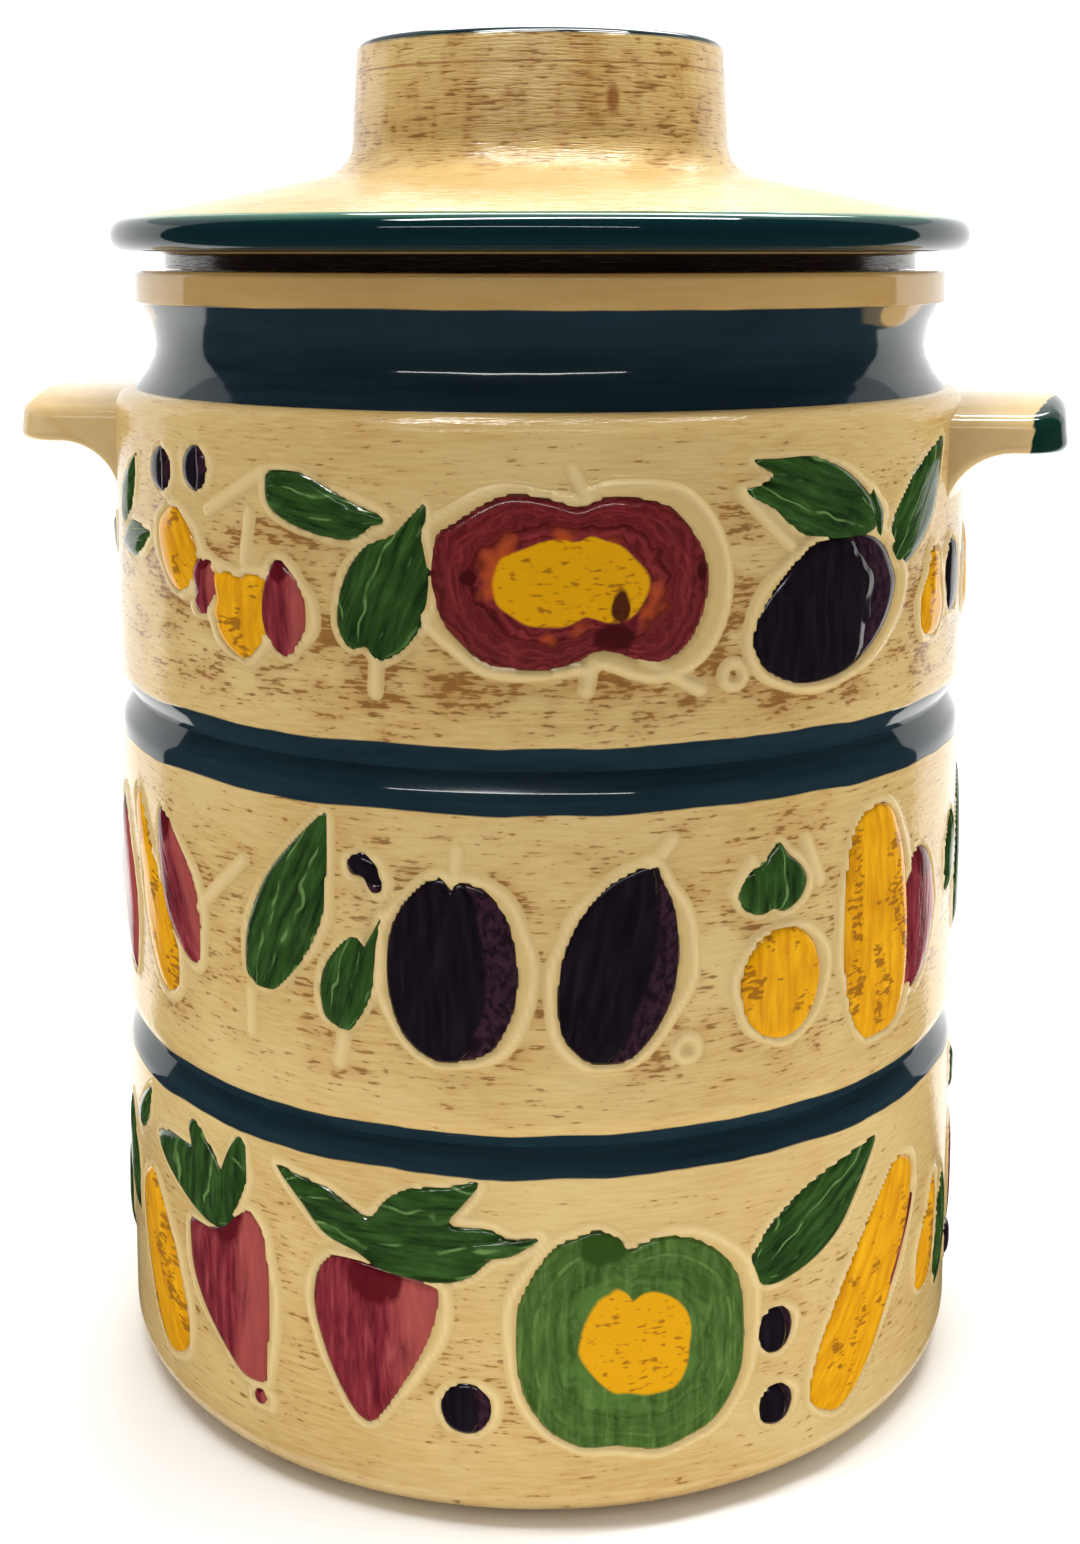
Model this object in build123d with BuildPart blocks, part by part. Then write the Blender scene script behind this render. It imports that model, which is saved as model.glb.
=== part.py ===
from build123d import *
import math
import os

# Rumtopf pot: a glazed earthenware fruit crock of three stacked drums, with two lugs and a lid.
# Lengths are in millimetres. The origin is the centre of the foot, +Z is up, the lugs lie along X
# and the fruit sprigs face -Y. The sprigs are the same on both halves.

os.makedirs("parts", exist_ok=True)

# Body: heights are from the table
drum_radius = 94.0
lower_groove_height = 76.6
upper_groove_height = 149.2
shoulder_height = 215.6
rim_underside_height = 233.8
rim_top_height = 240.7
wall = 6.5
floor_thickness = 8.0

# Grooves between the drums, and the rounded edges of the drums
groove_depth = 2.6
groove_half_height = 4.8
groove_lip_radius = 6.0
groove_valley_radius = 1.0
foot_edge_radius = 10.0
shoulder_edge_radius = 4.2
edge_radius = 1.2

# Foot recess
foot_ring_width = 9.0
foot_recess_depth = 2.5

# Neck and rim
neck_foot_radius = 89.7
neck_waist_radius = 85.1
neck_top_radius = 88.2
rim_radius = 89.3
mouth_radius = 78.5
throat_depth = 27.0
throat_slope_height = 10.0
throat_radius = 6.0
floor_corner_radius = 9.0

# Lid: it hangs seat_gap above the rim
seat_gap = 0.3
lid_clearance = 1.3
lid_radius = 94.3
lid_roll_thickness = 7.1
lid_overhang_lift = 3.6
lid_seat_radius = 82.7
lid_wall = 6.0
lid_skirt_width = 5.0
lid_skirt_depth = 12.0
lid_slope_rise = 10.4
lid_fillet_radius = 8.5
lid_upstand = 8.0

# Knob: an open collar luted on the lid
knob_foot_radius = 41.6
knob_top_radius = 40.3
knob_wall = 6.0
knob_height = 19.8
knob_edge_radius = 2.2

# Lugs
lug_reach = 116.0
lug_half_width = 30.0
lug_corner_radius = 12.0
lug_top_height = 214.3
lug_crown = 4.4
lug_thickness = 11.0
lug_draft = 6.0
lug_root_drop = 14.0
lug_root_radius = 12.8
lug_root_bite = 0.5
lug_top_edge_radius = 3.4
lug_underside_edge_radius = 1.8

# Sprigs: low fruit and leaves that stand on the drum wall, with sloping edges
sprig_height = 1.4
sprig_draft = 20.0
teardrop_tip_share = 0.14
teardrop_waist_share = 0.40
lobe_share = 0.60
lobe_corner_share = 0.29
notch_share = 0.08

sprig_overrun = 0.5
overrun = 10.0

# Sprig places, a row for each: drum from the top, angle from -Y towards +X and height share of the
# foot, the same two of the tip, and width share of the length. Height shares are of the drum's
# straight wall.
leaf_shares = [
    (0, -60, 0.59, -53, 0.87, 0.40),
    (0, -60, 0.51, -48.5, 0.59, 0.40),
    (0, -25.5, 0.81, -9.5, 0.72, 0.45),
    (0, -11.5, 0.27, -5.5, 0.78, 0.50),
    (0, 52.5, 0.69, 32, 0.90, 0.38),
    (0, 55.5, 0.51, 68, 0.94, 0.42),
    (0, 97, 0.37, 110, 0.58, 0.40),
    (1, -27.5, 0.33, -19, 0.93, 0.36),
    (1, -15.5, 0.23, -11.8, 0.63, 0.40),
    (1, 36.5, 0.61, 36.5, 0.84, 0.95),
    (1, 75, 0.43, 78, 0.72, 0.50),
    (1, 84, 0.22, 92, 0.82, 0.40),
    (2, -60, 0.43, -66, 0.83, 0.35),
    (2, -58.5, 0.78, -53, 0.98, 0.40),
    (2, -38.5, 0.68, -50, 0.95, 0.30),
    (2, -37, 0.71, -40, 0.99, 0.28),
    (2, -35, 0.70, -31.5, 0.98, 0.30),
    (2, -13, 0.73, -25.5, 0.99, 0.33),
    (2, -9.5, 0.79, 0.5, 0.99, 0.38),
    (2, -7, 0.74, 5, 0.79, 0.35),
    (2, 35, 0.56, 54, 0.99, 0.40),
    (2, 74, 0.17, 78, 0.58, 0.30),
    (2, 93, 0.71, 84, 0.98, 0.40),
    (2, 95, 0.72, 105, 0.96, 0.40),
    (2, 105, 0.17, 109, 0.60, 0.35),
]
plum_shares = [
    (0, 37.5, 0.19, 48, 0.58, 0.80),
    (0, 73, 0.26, 73.5, 0.55, 0.60),
    (1, -2.2, 0.18, -2.2, 0.78, 0.70),
    (1, 14.5, 0.18, 20, 0.82, 0.56),
    (1, 101, 0.15, 100, 0.75, 0.66),
]
berry_shares = [
    (0, -46.2, 0.75, -46.2, 0.91, 0.85),
    (0, -38.2, 0.77, -38.2, 0.93, 0.85),
    (0, 100, 0.12, 100, 0.26, 0.98),
    (1, -14.5, 0.81, -10, 0.74, 0.70),
    (2, -0.7, 0.16, -0.7, 0.33, 0.98),
    (2, 37.3, 0.33, 37.3, 0.49, 0.86),
    (2, 37.5, 0.08, 37.5, 0.22, 0.98),
    (2, 84, 0.16, 84, 0.30, 0.98),
]
apple_shares = [
    (0, 11.5, 0.24, 11.5, 0.81, 1.50),
]
apple_slice_shares = [
    (0, -36.5, 0.34, -36.5, 0.55, 0.57),
    (0, -23, 0.24, -24, 0.57, 0.55),
    (1, -60.5, 0.12, -66, 0.80, 0.30),
    (1, -40.5, 0.33, -49, 0.84, 0.32),
    (1, 64.5, 0.19, 65.5, 0.68, 0.40),
]
strawberry_shares = [
    (2, -37, 0.66, -30, 0.10, 0.50),
    (2, -12, 0.68, -11.3, 0.16, 0.75),
    (2, 94, 0.66, 93.5, 0.13, 0.72),
]
pepper_shares = [
    (2, 18.6, 0.10, 18.6, 0.85, 0.98),
]
pear_shares = [
    (0, -41, 0.44, -46, 0.72, 0.72),
    (0, -30.3, 0.21, -30.6, 0.51, 0.75),
    (0, 65, 0.21, 66.5, 0.54, 0.60),
    (0, 88, 0.19, 92, 0.55, 0.70),
    (1, -46, 0.18, -57, 0.88, 0.25),
    (1, 37.5, 0.19, 37.5, 0.56, 0.85),
    (1, 54.5, 0.09, 53, 0.89, 0.42),
    (2, -47, 0.05, -56, 0.72, 0.42),
    (2, 46, 0.02, 64, 0.88, 0.30),
    (2, 67, 0.22, 73, 0.66, 0.35),
]

# Outer wall, grooves and inside of the body, as one turned section
def groove(height):
    """The three points of a groove between two drums, from below to above."""
    return [
        (drum_radius, height - groove_half_height),
        (drum_radius - groove_depth, height),
        (drum_radius, height + groove_half_height),
    ]


groove_radii = [groove_lip_radius, groove_valley_radius, groove_lip_radius]
inner_radius = drum_radius - wall
throat_bottom = rim_top_height - throat_depth
foot_inner_radius = drum_radius - foot_edge_radius - foot_ring_width
neck_waist_height = (shoulder_height + rim_underside_height) / 2

with BuildPart() as pot_body:
    with BuildSketch(Plane.XZ):
        with BuildLine():
            outside = FilletPolyline(
                (0, foot_recess_depth),
                (foot_inner_radius, foot_recess_depth),
                (foot_inner_radius, 0),
                (drum_radius, 0),
                *groove(lower_groove_height),
                *groove(upper_groove_height),
                (drum_radius, shoulder_height),
                (neck_foot_radius, shoulder_height),
                radius=[edge_radius, edge_radius, foot_edge_radius, *groove_radii, *groove_radii,
                        shoulder_edge_radius],
            )
            neck = ThreePointArc(
                outside @ 1,
                (neck_waist_radius, neck_waist_height),
                (neck_top_radius, rim_underside_height),
            )
            inside = FilletPolyline(
                neck @ 1,
                (rim_radius, rim_underside_height),
                (rim_radius, rim_top_height),
                (mouth_radius, rim_top_height),
                (mouth_radius, throat_bottom),
                (inner_radius, throat_bottom - throat_slope_height),
                (inner_radius, floor_thickness),
                (0, floor_thickness),
                radius=[edge_radius / 2, edge_radius, edge_radius, throat_radius, throat_radius,
                        floor_corner_radius],
            )
            Line(inside @ 1, outside @ 0)
        make_face()
    revolve(axis=Axis.Z)
pot_body.part.label = "pot_body"
export_step(pot_body.part, "parts/pot_body.step")

# Lid: rolled rim, shallow slope, upstand for the knob, and the skirt that centres it in the mouth
lid_seat_height = rim_top_height + seat_gap
lid_roll_bottom = lid_seat_height + lid_overhang_lift
lid_roll_top = lid_roll_bottom + lid_roll_thickness
lid_slope_foot_radius = lid_radius - lid_roll_thickness / 2


def lid_top_height(radius):
    """Height of the lid's straight slope at a radius."""
    slope_share = (lid_slope_foot_radius - radius) / (lid_slope_foot_radius - knob_foot_radius)
    return lid_roll_top + slope_share * lid_slope_rise


skirt_radius = mouth_radius - lid_clearance
skirt_inner_radius = skirt_radius - lid_skirt_width
skirt_bottom = lid_seat_height - lid_skirt_depth
knob_foot_height = lid_top_height(knob_foot_radius) + lid_upstand
knob_bore_radius = knob_foot_radius - knob_wall
recess_floor_height = lid_top_height(knob_foot_radius) + lid_wall / 2
ceiling_height = recess_floor_height - lid_wall
ceiling_edge_height = lid_top_height(skirt_inner_radius) - lid_wall
roll_edge_radius = lid_roll_thickness / 2 - edge_radius / 10

with BuildPart() as lid:
    with BuildSketch(Plane.XZ):
        with BuildLine():
            turned = FilletPolyline(
                (0, ceiling_height),
                (knob_bore_radius, ceiling_height),
                (skirt_inner_radius, ceiling_edge_height),
                (skirt_inner_radius, skirt_bottom),
                (skirt_radius, skirt_bottom),
                (skirt_radius, lid_seat_height),
                (lid_seat_radius, lid_seat_height),
                (lid_seat_radius, lid_roll_bottom),
                (lid_radius, lid_roll_bottom),
                (lid_radius, lid_top_height(lid_radius)),
                (knob_foot_radius, lid_top_height(knob_foot_radius)),
                (knob_foot_radius, knob_foot_height),
                (knob_bore_radius, knob_foot_height),
                (knob_bore_radius, recess_floor_height),
                (0, recess_floor_height),
                radius=[throat_radius, edge_radius, edge_radius, edge_radius, 0, 0, edge_radius,
                        roll_edge_radius, roll_edge_radius, lid_fillet_radius, 0, 0, edge_radius],
            )
            Line(turned @ 1, turned @ 0)
        make_face()
    revolve(axis=Axis.Z)
lid.part.label = "lid"
export_step(lid.part, "parts/lid.step")

# Knob: a slightly tapered collar, open at the top
knob_top_height = knob_foot_height + knob_height

with BuildPart() as lid_knob:
    with BuildSketch(Plane.XZ):
        with BuildLine():
            FilletPolyline(
                (knob_bore_radius, knob_foot_height),
                (knob_foot_radius, knob_foot_height),
                (knob_top_radius, knob_top_height),
                (knob_top_radius - knob_wall, knob_top_height),
                radius=[0, 0, knob_edge_radius, knob_edge_radius],
                close=True,
            )
        make_face()
    revolve(axis=Axis.Z)
lid_knob.part.label = "lid_knob"
export_step(lid_knob.part, "parts/lid_knob.step")

# Lugs: flat grips with a crowned top, blended into the wall below
lug_underside_height = lug_top_height - lug_thickness
lug_root_height = lug_underside_height - lug_root_drop
lug_spread = lug_root_drop * math.tan(math.radians(lug_draft))
lug_root_reach = lug_reach + lug_spread
lug_root_half_width = lug_half_width + lug_spread
lug_inner_radius = drum_radius - wall / 2
lug_root_radius_on_wall = drum_radius - lug_root_bite

with BuildPart() as lug_grip:
    with BuildSketch(Plane.XY.offset(lug_root_height)) as lug_plan:
        Circle(lug_root_reach)
        Rectangle(
            lug_root_reach,
            2 * lug_root_half_width,
            align=(Align.MIN, Align.CENTER),
            mode=Mode.INTERSECT,
        )
        fillet(lug_plan.vertices().group_by(Axis.X)[-1], radius=lug_corner_radius)
    extrude(amount=lug_top_height - lug_root_height, taper=lug_draft)
    with BuildSketch(Plane.YZ):
        with BuildLine():
            crown = ThreePointArc(
                (-lug_root_half_width, lug_top_height - lug_crown),
                (0, lug_top_height),
                (lug_root_half_width, lug_top_height - lug_crown),
            )
            Polyline(
                crown @ 1,
                (lug_root_half_width, lug_root_height),
                (-lug_root_half_width, lug_root_height),
                crown @ 0,
            )
        make_face()
    extrude(amount=lug_root_reach, mode=Mode.INTERSECT)
    crowned_face = lug_grip.faces().sort_by(Axis.Z)[-1]
    fillet(crowned_face.edges().sort_by(Axis.X)[1:], radius=lug_top_edge_radius)
    with BuildSketch(Plane.XZ):
        with BuildLine():
            FilletPolyline(
                (lug_inner_radius, lug_root_height),
                (lug_root_radius_on_wall, lug_root_height),
                (lug_root_radius_on_wall, lug_underside_height),
                (lug_root_reach + overrun, lug_underside_height),
                (lug_root_reach + overrun, lug_top_height),
                (lug_inner_radius, lug_top_height),
                radius=[0, 0, lug_root_radius, 0, 0, 0],
                close=True,
            )
        make_face()
    revolve(axis=Axis.Z, mode=Mode.INTERSECT)
    underside = lug_grip.faces().filter_by(Plane.XY).sort_by(Axis.Z)[-1]
    fillet(underside.edges().sort_by(SortBy.LENGTH)[:-1], radius=lug_underside_edge_radius)

with BuildPart() as right_handle:
    add(lug_grip.part)
    add(pot_body.part, mode=Mode.SUBTRACT)
right_handle.part.label = "right_handle"
export_step(right_handle.part, "parts/right_handle.step")

with BuildPart() as left_handle:
    add(mirror(right_handle.part, about=Plane.YZ, mode=Mode.PRIVATE))
left_handle.part.label = "left_handle"
export_step(left_handle.part, "parts/left_handle.step")

# Sprigs
panel_clearance = groove_half_height + groove_lip_radius / 4
panels = [
    (upper_groove_height + panel_clearance, shoulder_height - shoulder_edge_radius),
    (lower_groove_height + panel_clearance, upper_groove_height - panel_clearance),
    (foot_edge_radius, lower_groove_height - panel_clearance),
]


def leaf_outline(length, width):
    """Two arcs that meet at the stalk and at the tip."""
    with BuildSketch() as outline:
        with BuildLine():
            edge = ThreePointArc((0, -length / 2), (width / 2, 0), (0, length / 2))
            ThreePointArc(edge @ 1, (-width / 2, 0), edge @ 0)
        make_face()
    return outline.sketch


def oval_outline(length, width):
    """A plain oval."""
    with BuildSketch() as outline:
        Ellipse(width / 2, length / 2)
    return outline.sketch


def teardrop_outline(length, width):
    """Wide at the foot, with full sides and a small rounded tip."""
    tip_radius = width * teardrop_tip_share
    with BuildSketch() as outline:
        with Locations((0, (width - length) / 2)):
            Circle(width / 2)
        Circle(width * teardrop_waist_share)
        with Locations((0, length / 2 - tip_radius)):
            Circle(tip_radius)
        make_hull()
    return outline.sketch


def lobed_outline(length, width):
    """Two lobes side by side, with a notch at each end."""
    lobe_width = width * lobe_share
    with BuildSketch() as outline:
        with Locations(((lobe_width - width) / 2, 0), ((width - lobe_width) / 2, 0)):
            RectangleRounded(lobe_width, length, width * lobe_corner_share)
        notches = outline.vertices().sort_by(lambda corner: abs(corner.X))[:2]
        fillet(notches, radius=width * notch_share)
    return outline.sketch


def wall_plane(angle, height, depth, lean):
    """Plane inside the drum wall that faces out, with its Y axis up and leaning to one side."""
    outward = Vector(0, -1, 0).rotate(Axis.Z, angle)
    along = Vector(1, 0, 0).rotate(Axis.Z, angle)
    origin = outward * (drum_radius - depth) + Vector(0, 0, height)
    return Plane(origin, x_dir=along.rotate(Axis((0, 0, 0), outward), -lean), z_dir=outward)


def sprigs(place_shares, outline):
    """Sprigs of one outline, on both halves of the pot."""
    with BuildPart() as pads:
        for drum, foot_angle, foot_share, tip_angle, tip_share, width_share in place_shares:
            panel_bottom, panel_top = panels[drum]
            angle = (foot_angle + tip_angle) / 2
            height = panel_bottom + (foot_share + tip_share) / 2 * (panel_top - panel_bottom)
            across = drum_radius * math.radians(tip_angle - foot_angle)
            up = (tip_share - foot_share) * (panel_top - panel_bottom)
            length = math.hypot(across, up)
            width = length * width_share
            lean = math.degrees(math.atan2(across, up))
            half_span = max(abs(across), width) / 2
            depth = drum_radius - math.sqrt(drum_radius ** 2 - half_span ** 2)
            rise = depth + sprig_height + sprig_overrun
            slope_run = 2 * rise * math.tan(math.radians(sprig_draft))
            for half_turn in (0, 180):
                foot_plane = wall_plane(angle + half_turn, height, depth, lean)
                with BuildSketch(foot_plane):
                    add(outline(length, width))
                with BuildSketch(foot_plane.offset(rise)):
                    add(outline(length - slope_run, width - slope_run))
                loft(ruled=True)
        with BuildSketch():
            Circle(drum_radius + sprig_height)
            Circle(drum_radius, mode=Mode.SUBTRACT)
        extrude(amount=shoulder_height, mode=Mode.INTERSECT)
    return pads.part


with BuildPart() as leaf_relief:
    add(sprigs(leaf_shares, leaf_outline))
leaf_relief.part.label = "leaf_relief"
export_step(leaf_relief.part, "parts/leaf_relief.step")

with BuildPart() as plum_relief:
    add(sprigs(plum_shares, oval_outline))
plum_relief.part.label = "plum_relief"
export_step(plum_relief.part, "parts/plum_relief.step")

with BuildPart() as berry_relief:
    add(sprigs(berry_shares, oval_outline))
berry_relief.part.label = "berry_relief"
export_step(berry_relief.part, "parts/berry_relief.step")

with BuildPart() as apple_relief:
    add(sprigs(apple_shares, lobed_outline))
    add(sprigs(apple_slice_shares, leaf_outline))
apple_relief.part.label = "apple_relief"
export_step(apple_relief.part, "parts/apple_relief.step")

with BuildPart() as strawberry_relief:
    add(sprigs(strawberry_shares, teardrop_outline))
strawberry_relief.part.label = "strawberry_relief"
export_step(strawberry_relief.part, "parts/strawberry_relief.step")

with BuildPart() as pepper_relief:
    add(sprigs(pepper_shares, lobed_outline))
pepper_relief.part.label = "pepper_relief"
export_step(pepper_relief.part, "parts/pepper_relief.step")

with BuildPart() as pear_relief:
    add(sprigs(pear_shares, teardrop_outline))
pear_relief.part.label = "pear_relief"
export_step(pear_relief.part, "parts/pear_relief.step")
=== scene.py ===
import math
import random

import bpy
import numpy as np
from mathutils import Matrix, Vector


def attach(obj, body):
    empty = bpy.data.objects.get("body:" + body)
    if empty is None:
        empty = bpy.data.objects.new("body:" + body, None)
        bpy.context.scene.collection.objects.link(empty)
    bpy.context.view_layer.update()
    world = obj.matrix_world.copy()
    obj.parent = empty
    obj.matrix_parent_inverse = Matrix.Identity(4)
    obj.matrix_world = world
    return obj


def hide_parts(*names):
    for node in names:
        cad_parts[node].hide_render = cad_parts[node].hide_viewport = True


# Rumtopf pot: the glazed surfaces of a fruit crock of three stacked drums, with two lugs and a lid.
# The pot stands on its foot, +Z is up, the lugs lie along X and the fruit faces -Y.
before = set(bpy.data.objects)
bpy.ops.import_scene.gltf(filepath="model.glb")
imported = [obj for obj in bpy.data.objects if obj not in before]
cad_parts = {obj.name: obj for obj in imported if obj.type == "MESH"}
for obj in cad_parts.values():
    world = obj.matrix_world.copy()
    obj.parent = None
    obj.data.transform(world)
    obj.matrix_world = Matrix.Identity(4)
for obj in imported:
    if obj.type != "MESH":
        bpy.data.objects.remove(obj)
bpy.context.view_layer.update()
random.seed(7)

MM = 0.001

# Heights and radii of the pot in millimetres, the same as in the solids
DRUM_RADIUS = 94.0
INNER_RADIUS = 87.5
FOOT_EDGE = 10.0
FOOT_RING_RADIUS = 75.0
FOOT_HOLLOW = 2.5
FLOOR_TOP = 8.0
FLOOR_FILLET = 9.0
LOWER_GROOVE = 76.6
UPPER_GROOVE = 149.2
GROOVE_DEPTH = 2.6
GROOVE_HALF_HEIGHT = 4.8
GROOVE_LIP = 6.0
SHOULDER = 215.6
SHOULDER_EDGE = 4.2
RIM_RADIUS = 89.3
RIM_UNDERSIDE = 233.8
RIM_TOP = 240.7
MOUTH_RADIUS = 78.5
THROAT_BOTTOM = 213.7
THROAT_SLOPE = 10.0
PANEL_CLEARANCE = 6.3

# The waist of the neck: radius, and height over the shoulder
NECK_WAIST = [(89.7, 0), (87.0, 3.6), (85.5, 6.8), (85.1, 9.1), (85.4, 11.8), (86.5, 15.2)]
NECK_TOP_RADIUS = 88.2

# Heights and radii of the lid and its knob
LID_SEAT = 241.0
SEAT_RADIUS = 82.7
LID_ROLL_BOTTOM = 244.6
LID_ROLL_TOP = 251.7
ROLL_HALF = 3.55
ROLL_ROUNDING = 3.4
LID_RADIUS = 94.3
LID_SLOPE_RISE = 10.4
LID_WALL = 6.0
LID_UNDERSIDE = 259.1
KNOB_FOOT_RADIUS = 41.6
KNOB_FOOT_FILLET = 8.5
KNOB_TOP_RADIUS = 40.3
KNOB_WALL = 6.0
KNOB_LIP = 2.2
KNOB_FOOT = 270.1
KNOB_TOP = 289.9
RECESS_FLOOR = 265.1
RECESS_RADIUS = KNOB_FOOT_RADIUS - KNOB_WALL
SKIRT_RADIUS = 77.2
SKIRT_INNER = 72.2
SKIRT_BOTTOM = 229.0

# Small rounding of edges that are wiped before firing
WIPED_EDGE = 1.2

# Fineness of the turned walls
RELIEF_ROW = 0.85
LONG_RUN = 10.0
RELIEF_SEGMENTS = 720
PLAIN_SEGMENTS = 384
ARC_STEP = math.radians(9)
SOFT_ANGLE = math.radians(35)
MERGE_DISTANCE = 0.01

# Relief of the fruit: its rise, how thick its edge stands, how far in it rounds up, how deep it sinks
# in the wall, and how full its dome is
SPRIG_RISE = 1.3
SPRIG_EDGE = 0.12
SPRIG_SHOULDER = 1.0
SPRIG_SINK = 0.35
DOME_FULLNESS = 1.6
SPRIG_POINTS = 72
SPRIG_RINGS = 7

# How far in the rings of the flat pad step, as a share of its radius
RING_STEP = 0.12

# The strokes of each sprig start somewhere along this many millimetres, so that no two are alike.
BRUSH_SPREAD = 300

# Relief of the smooth rib round each fruit, and the most that a rib's height share comes to
RIB_RISE = 0.8
RIB_MOST = 1.2

# Bands of navy glaze, lowest and highest edge in millimetres
LOWER_BAND = (71.3, 79.5)
UPPER_BAND = (141.6, 154.3)


# Turning

def rounded(corners):
    """Points along a closed outline of (radius, height, rounding) corners in millimetres."""
    points = []
    count = len(corners)
    for place, (radius, height, rounding) in enumerate(corners):
        if not rounding:
            points.append((radius, height))
            continue
        corner = np.array((radius, height))
        before = np.array(corners[place - 1][:2]) - corner
        after = np.array(corners[(place + 1) % count][:2]) - corner
        before /= np.linalg.norm(before)
        after /= np.linalg.norm(after)
        opening = math.acos(np.clip(before @ after, -1, 1))
        reach = rounding / math.tan(opening / 2)
        middle = before + after
        centre = corner + middle / np.linalg.norm(middle) * rounding / math.sin(opening / 2)
        start = corner + before * reach - centre
        turn = math.pi - opening
        sense = math.copysign(1, before[1] * after[0] - before[0] * after[1])
        steps = max(2, round(turn / ARC_STEP))
        for step in range(steps + 1):
            angle = sense * turn * step / steps
            points.append((centre[0] + start[0] * math.cos(angle) - start[1] * math.sin(angle),
                           centre[1] + start[0] * math.sin(angle) + start[1] * math.cos(angle)))
    return points


def rows_on_wall(points):
    """Adds rows to the long upright run of a drum, where the relief needs them."""
    finer = []
    for here, there in zip(points, points[1:] + points[:1]):
        finer.append(here)
        run = math.dist(here, there)
        if min(here[0], there[0]) > DRUM_RADIUS - MERGE_DISTANCE and run > LONG_RUN:
            count = round(run / RELIEF_ROW)
            finer += [(DRUM_RADIUS, here[1] + (there[1] - here[1]) * row / count)
                      for row in range(1, count)]
    return finer


def turned(name, points, segments):
    """A closed ring or disc turned round the pot's axis from points of its section."""
    bpy.ops.object.select_all(action="DESELECT")
    bpy.ops.mesh.primitive_circle_add(vertices=len(points), fill_type="NOTHING")
    piece = bpy.context.object
    piece.name = piece.data.name = name
    for vertex, (radius, height) in zip(piece.data.vertices, points):
        vertex.co = (radius * MM, 0, height * MM)
    bpy.ops.object.modifier_add(type="SCREW")
    wheel = piece.modifiers[-1]
    wheel.angle = math.tau
    wheel.steps = wheel.render_steps = segments
    wheel.use_merge_vertices = True
    wheel.merge_threshold = MERGE_DISTANCE * MM
    bpy.ops.object.modifier_apply(modifier=wheel.name)
    bpy.ops.object.mode_set(mode="EDIT")
    bpy.ops.mesh.select_all(action="SELECT")
    bpy.ops.mesh.remove_doubles(threshold=MERGE_DISTANCE * MM)
    bpy.ops.mesh.delete_loose()
    bpy.ops.mesh.select_all(action="SELECT")
    bpy.ops.mesh.normals_make_consistent(inside=False)
    bpy.ops.object.mode_set(mode="OBJECT")
    bpy.ops.object.shade_smooth_by_angle(angle=SOFT_ANGLE)
    return piece


def give_attribute(piece, name, values):
    """Keeps a number for each vertex of a piece, for its glaze."""
    layer = piece.data.attributes.new(name, "FLOAT", "POINT")
    layer.data.foreach_set("value", np.asarray(values, np.float32))


# Fruit and leaves

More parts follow.
